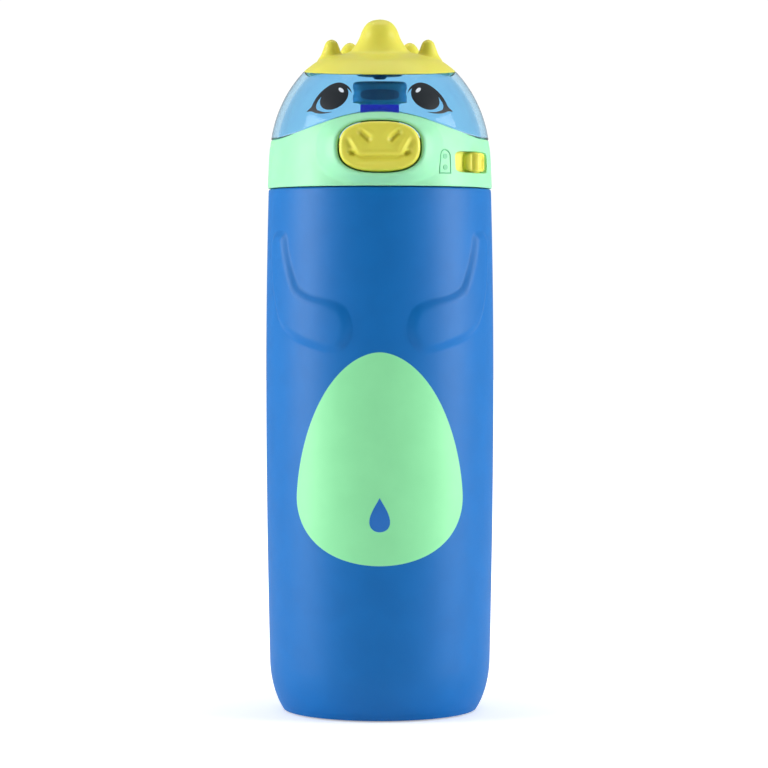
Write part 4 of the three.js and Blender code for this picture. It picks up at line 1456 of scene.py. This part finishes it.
@dataclass
class Dome:
    """The clear dome: an egg end in two skins, its catch, its stopper and two printed eyes."""

    shape: LidShape
    crown: Crown
    wall: float = 2.0
    ceiling: float = 0.3
    rows: int = 60
    eye_bearing: float = 27.4
    eye_z: float = 189.9
    catch_side: float = 5.8

    catch: tuple[Triple, ...] = (
        (-29.6, 178.0, 0.3), (-27.3, 178.0, 0.4), (-27.3, 179.2, 0.3),
        (-28.2, 179.6, 0.3), (-28.2, 187.3, 0.3), (-29.6, 187.3, 0.3),
    )
    stopper: tuple[Triple, ...] = (
        (0, 196.9, 0), (1.6, 196.9, 0.3), (2.6, 198, 0.3), (7, 198, 0.2),
        (7, 199, 0.2), (2.6, 199.6, 0.3), (2.4, 202.1, 0.2), (0, 202.1, 0),
    )
    lid: tuple[tuple[float, float, float, float], ...] = (
        (-5.9, 0.9, -5.9, 0.9), (-4.7, 2.7, -4.5, 2.2), (-3.0, 3.8, -2.9, 3.1),
        (-0.9, 4.4, -0.9, 3.4), (1.3, 4.2, 1.2, 3.2), (3.3, 3.3, 2.9, 2.4), (5.0, 1.9, 4.0, 1.2),
        (6.2, 0.3, 5.0, -0.3), (6.9, -1.4, 5.6, -1.7), (7.2, -2.7, 5.6, -2.8),
        (8.0, -3.6, 5.2, -3.5), (8.7, -4.2, 4.8, -3.9), (8.6, -4.3, 4.6, -4.0),
        (6.9, -4.3, 4.0, -4.2), (4.9, -4.9, 3.0, -4.5), (2.4, -5.1, 1.9, -4.7), (-0.4, -4.7, -0.4, -4.7),
    )

    def skin_rows(self, inset: float) -> Array:
        """One skin: from the wavy bottom edge up to the crown's seat and over it."""
        bearing = np.linspace(-math.pi, math.pi, 400, endpoint=False)
        low = self.shape.wave(bearing) + self.shape.gap
        bottom, top = np.full_like(low, 188.0), np.full_like(low, 208.0 - inset)
        for _ in range(40):
            middle = 0.5 * (bottom + top)
            radius, height = self.crown.own(wrap(bearing, self.shape.egg(middle, inset), middle))
            above = height > self.crown.seat(radius) - self.ceiling * inset
            bottom, top = np.where(above, bottom, middle), np.where(above, middle, top)
        v = np.linspace(0, 1, self.rows)[:, None]
        height = low + v * (bottom - low)
        side = wrap(bearing[None], self.shape.egg(height, inset), height)
        c, s = rotation(self.crown.lean)
        edge = side[-1]
        y, z = edge[:, 1] - self.crown.y, edge[:, 2] - self.crown.z
        plan = np.stack([edge[:, 0], y * c + z * s], axis=-1)
        share = np.array([0.97, 0.85, 0.65, 0.4, 0.15, 0.0])[:, None, None]
        flat = plan[None] * share
        lift = self.crown.seat(np.linalg.norm(flat, axis=-1)) - self.ceiling * inset
        over = self.crown.placed(np.concatenate([flat, lift[..., None]], axis=-1))
        return np.concatenate([side, over])

    def build_shell(self) -> Piece:
        """The dome: an outer and an inner skin joined by a rounded bottom edge."""
        outer, inner = self.skin_rows(0), self.skin_rows(self.wall)
        rows = []
        for angle in np.linspace(0, math.pi, 9)[1:-1]:
            t = 0.5 * (1 - math.cos(angle))
            rim = outer[0] * (1 - t) + inner[0] * t
            rows.append(rim - [0, 0, 0.28 * math.sin(angle)])
        return hull("clear_dome", np.concatenate([outer[::-1], np.stack(rows), inner]), 40)

    def on_dome(self, across: Array, height: Array, lift: Array | float) -> Array:
        """Points on the dome's outside at a distance across from the front, and a height."""
        radius = self.shape.egg(height)
        slope = np.clip((height - self.shape.centre_z) / self.shape.rise, 0, 1)
        bearing = across / self.shape.egg(np.full_like(height, self.eye_z))
        return wrap(bearing, radius + lift, height + lift * slope)

    def oval(self, name: str, place: Pair, half: Pair, lean: float, side: int, rise: float) -> Piece:
        """A printed oval on an eye.

        Args:
            name: The piece's name.
            place: Its centre, out from and up from the eye's centre.
            half: Half of its width and of its height.
            lean: How far it is turned about its own centre, in degrees.
            side: 1 for the right eye and -1 for the left, which is its mirror image.
            rise: How far it stands off the dome.

        Returns:
            The new object.
        """
        turn = np.linspace(0, math.pi, 41)
        wide, up = half[0] * np.sin(turn), -half[1] * np.cos(turn)
        c, s = rotation(lean)
        edges = []
        for sign in (-1, 1):
            x, z = sign * wide * c - up * s, sign * wide * s + up * c
            edges.append(self.eye_point(place[0] + x, place[1] + z, side))
        return laid_on(name, self.on_dome, *edges, 24, rise)

    def eye_point(self, x: Array, z: Array, side: int) -> Array:
        """Surface places from places about an eye's centre, x growing outwards."""
        middle = math.radians(self.eye_bearing) * float(self.shape.egg(np.array(self.eye_z)))
        return np.column_stack([side * (middle + x), self.eye_z + z])

    def lid_line(self, name: str, side: int) -> Piece:
        """The lid: a band over the eye and round its outer side, a lash and a thin lower line."""
        curve = resample(np.array(self.lid), 150)
        edges = [self.eye_point(curve[:, k], curve[:, k + 1], side) for k in (0, 2)]
        return laid_on(name, self.on_dome, *edges, 8, 0.06)

    def build_eyes(self) -> None:
        """Two plain cartoon eyes: a dark oval, a lid with a lash and a highlight each."""
        for side, label in ((-1, "left"), (1, "right")):
            pupil = self.oval(f"eye_pupil_{label}", (0, 0), (4.75, 3.85), -20, side, 0.05)
            dress(pupil, Look.DARK_INK, Body.DOME)
            dress(self.lid_line(f"eye_lid_{label}", side), Look.DARK_INK, Body.DOME)
            glint = self.oval(f"eye_glint_{label}", (-2.0, 2.0), (1.15, 0.5), 32, side, 0.08)
            dress(glint, Look.WHITE_INK, Body.DOME)

    def build(self) -> None:
        """Builds and dresses the dome, its catch, its stopper, its eyes and its crown."""
        dress(self.build_shell(), Look.CLEAR_BLUE, Body.DOME, "dome_cover")
        self.build_eyes()
        catch = slab("dome_catch", rounded(self.catch), -self.catch_side, self.catch_side)
        dress(catch, Look.DEEP_BLUE, Body.DOME)
        stopper = turned("stopper_pad", rounded(self.stopper), 72)
        dress(stopper, Look.TEAL, Body.DOME, "spout_stopper")
        self.crown.build()


# ---------- the studio ----------


@dataclass
class Studio:
    """A white table and background, soft boxes and the camera."""

    lens: float = 141.1
    place: Triple = (0.0013, -0.941, 0.1355)
    tilt: float = 2.045
    floor_size: float = 6.0
    floor_glow: float = 0.4
    glow_span: Pair = (0.05, 0.4)
    backdrop: float = 1.05
    room_colour: tuple[float, float, float, float] = (0.94, 0.96, 1, 1)
    room_span: Pair = (-1.0, 0.2)
    room_light: Pair = (0.05, 0.42)
    aim: Triple = (0, 0, 0.11)
    side_box: tuple[Triple, Pair, float] = ((0.9, -0.2, 0.26), (0.45, 0.8), 8.8)
    top_box: tuple[Triple, Pair, float] = ((0, 0.15, 0.95), (0.9, 0.5), 2.2)

    def build_floor(self) -> None:
        """A wide pale table with a very slight grain, which glows for the camera only: painted light,
        fainter near the bottle and full further out.
        """
        steps = np.linspace(-0.5 * self.floor_size, 0.5 * self.floor_size, 40) / MM
        x, y = np.meshgrid(steps, steps)
        skin = Skin()
        skin.patch(np.stack([x, y, np.zeros_like(x)], axis=-1))
        floor = skin.to_object("table_top")
        white = Finish(
            "white_table", (250, 250, 250), (249, 249, 249), (0.75, 0.85),
            grain_mm=3, grain=5, specular=0.2,
        )
        material = white.material()
        tree = material.node_tree
        glow = tree.nodes["Principled BSDF"].inputs
        glow["Emission Color"].default_value = (1, 1, 1, 1)
        # Painted light: camera rays see the table glow, less near the bottle so that its shadow shows.
        place = add_node(tree, "TexCoord")
        far = add_node(tree, "VectorMath", {0: place.outputs["Object"]}, "LENGTH")
        near = add_range(tree, far.outputs["Value"], self.glow_span, (self.floor_glow, 1.0))
        rays = add_node(tree, "LightPath")
        seen = add_node(tree, "Math", {0: near, 1: rays.outputs["Is Camera Ray"]}, "MULTIPLY")
        tree.links.new(seen.outputs["Value"], glow["Emission Strength"])
        floor.data.materials.append(material)

    def build_world(self) -> None:
        """White where it is seen directly or through the dome, dimmer where it lights."""
        world = bpy.data.worlds.new("white_room")
        world.use_nodes = True
        tree = world.node_tree
        seen = tree.nodes["Background"]
        seen.inputs["Color"].default_value = (1, 1, 1, 1)
        seen.inputs["Strength"].default_value = self.backdrop
        place = add_node(tree, "TexCoord")
        split = add_node(tree, "SeparateXYZ", {"Vector": place.outputs["Generated"]})
        strength = add_range(tree, split.outputs["Y"], self.room_span, self.room_light)
        light = add_node(tree, "Background", {"Color": self.room_colour, "Strength": strength})
        rays = add_node(tree, "LightPath")
        direct = {0: rays.outputs["Is Camera Ray"], 1: rays.outputs["Is Transmission Ray"]}
        either = add_node(tree, "Math", direct, "MAXIMUM")
        mix = add_node(tree, "MixShader", {
            "Fac": either.outputs["Value"],
            1: light.outputs["Background"],
            2: seen.outputs["Background"],
        })
        tree.links.new(mix.outputs["Shader"], tree.nodes["World Output"].inputs["Surface"])
        bpy.context.scene.world = world

    def soft_box(self, name: str, place: Triple, size: Pair, power: float) -> None:
        """An area light aimed at the middle of the bottle, with its place in metres."""
        data = bpy.data.lights.new(name, "AREA")
        data.shape = "RECTANGLE"
        data.size, data.size_y = size
        data.energy = power
        lamp = bpy.data.objects.new(name, data)
        lamp.location = place
        ahead = Vector(self.aim) - Vector(place)
        lamp.rotation_euler = ahead.to_track_quat("-Z", "Y").to_euler()
        bpy.context.scene.collection.objects.link(lamp)

    def build_camera(self) -> None:
        """The camera, straight on from the front and a little above the middle."""
        data = bpy.data.cameras.new("front_camera")
        data.lens = self.lens
        data.sensor_width = 36.0
        data.clip_start, data.clip_end = 0.05, 20
        camera = bpy.data.objects.new("front_camera", data)
        camera.location = self.place
        camera.rotation_euler = (math.radians(90 - self.tilt), 0, 0)
        bpy.context.scene.collection.objects.link(camera)
        bpy.context.scene.camera = camera

    def build(self) -> None:
        """Builds the studio."""
        self.build_floor()
        self.build_world()
        (x, y, z), size, power = self.side_box
        self.soft_box("left_box", (-x, y, z), size, power)
        self.soft_box("right_box", (x, y, z), size, power)
        self.soft_box("top_box", *self.top_box)
        self.build_camera()
        view = bpy.context.scene.view_settings
        view.view_transform = "Standard"
        view.look = "None"
        view.exposure = 0.0


def main() -> None:
    """Builds the whole picture, from the bottle up to the crown, and then the studio."""
    logging.basicConfig(level=logging.INFO, format="%(name)s: %(message)s")
    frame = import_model()
    shape = LidShape()
    Bottle().build()
    Collar(shape).build()
    Hinge().build()
    Inserts().build(frame)
    SnoutButton().build()
    LockSlider().build()
    Dome(shape, Crown()).build()
    Studio().build()


if __name__ == "__main__":
    main()
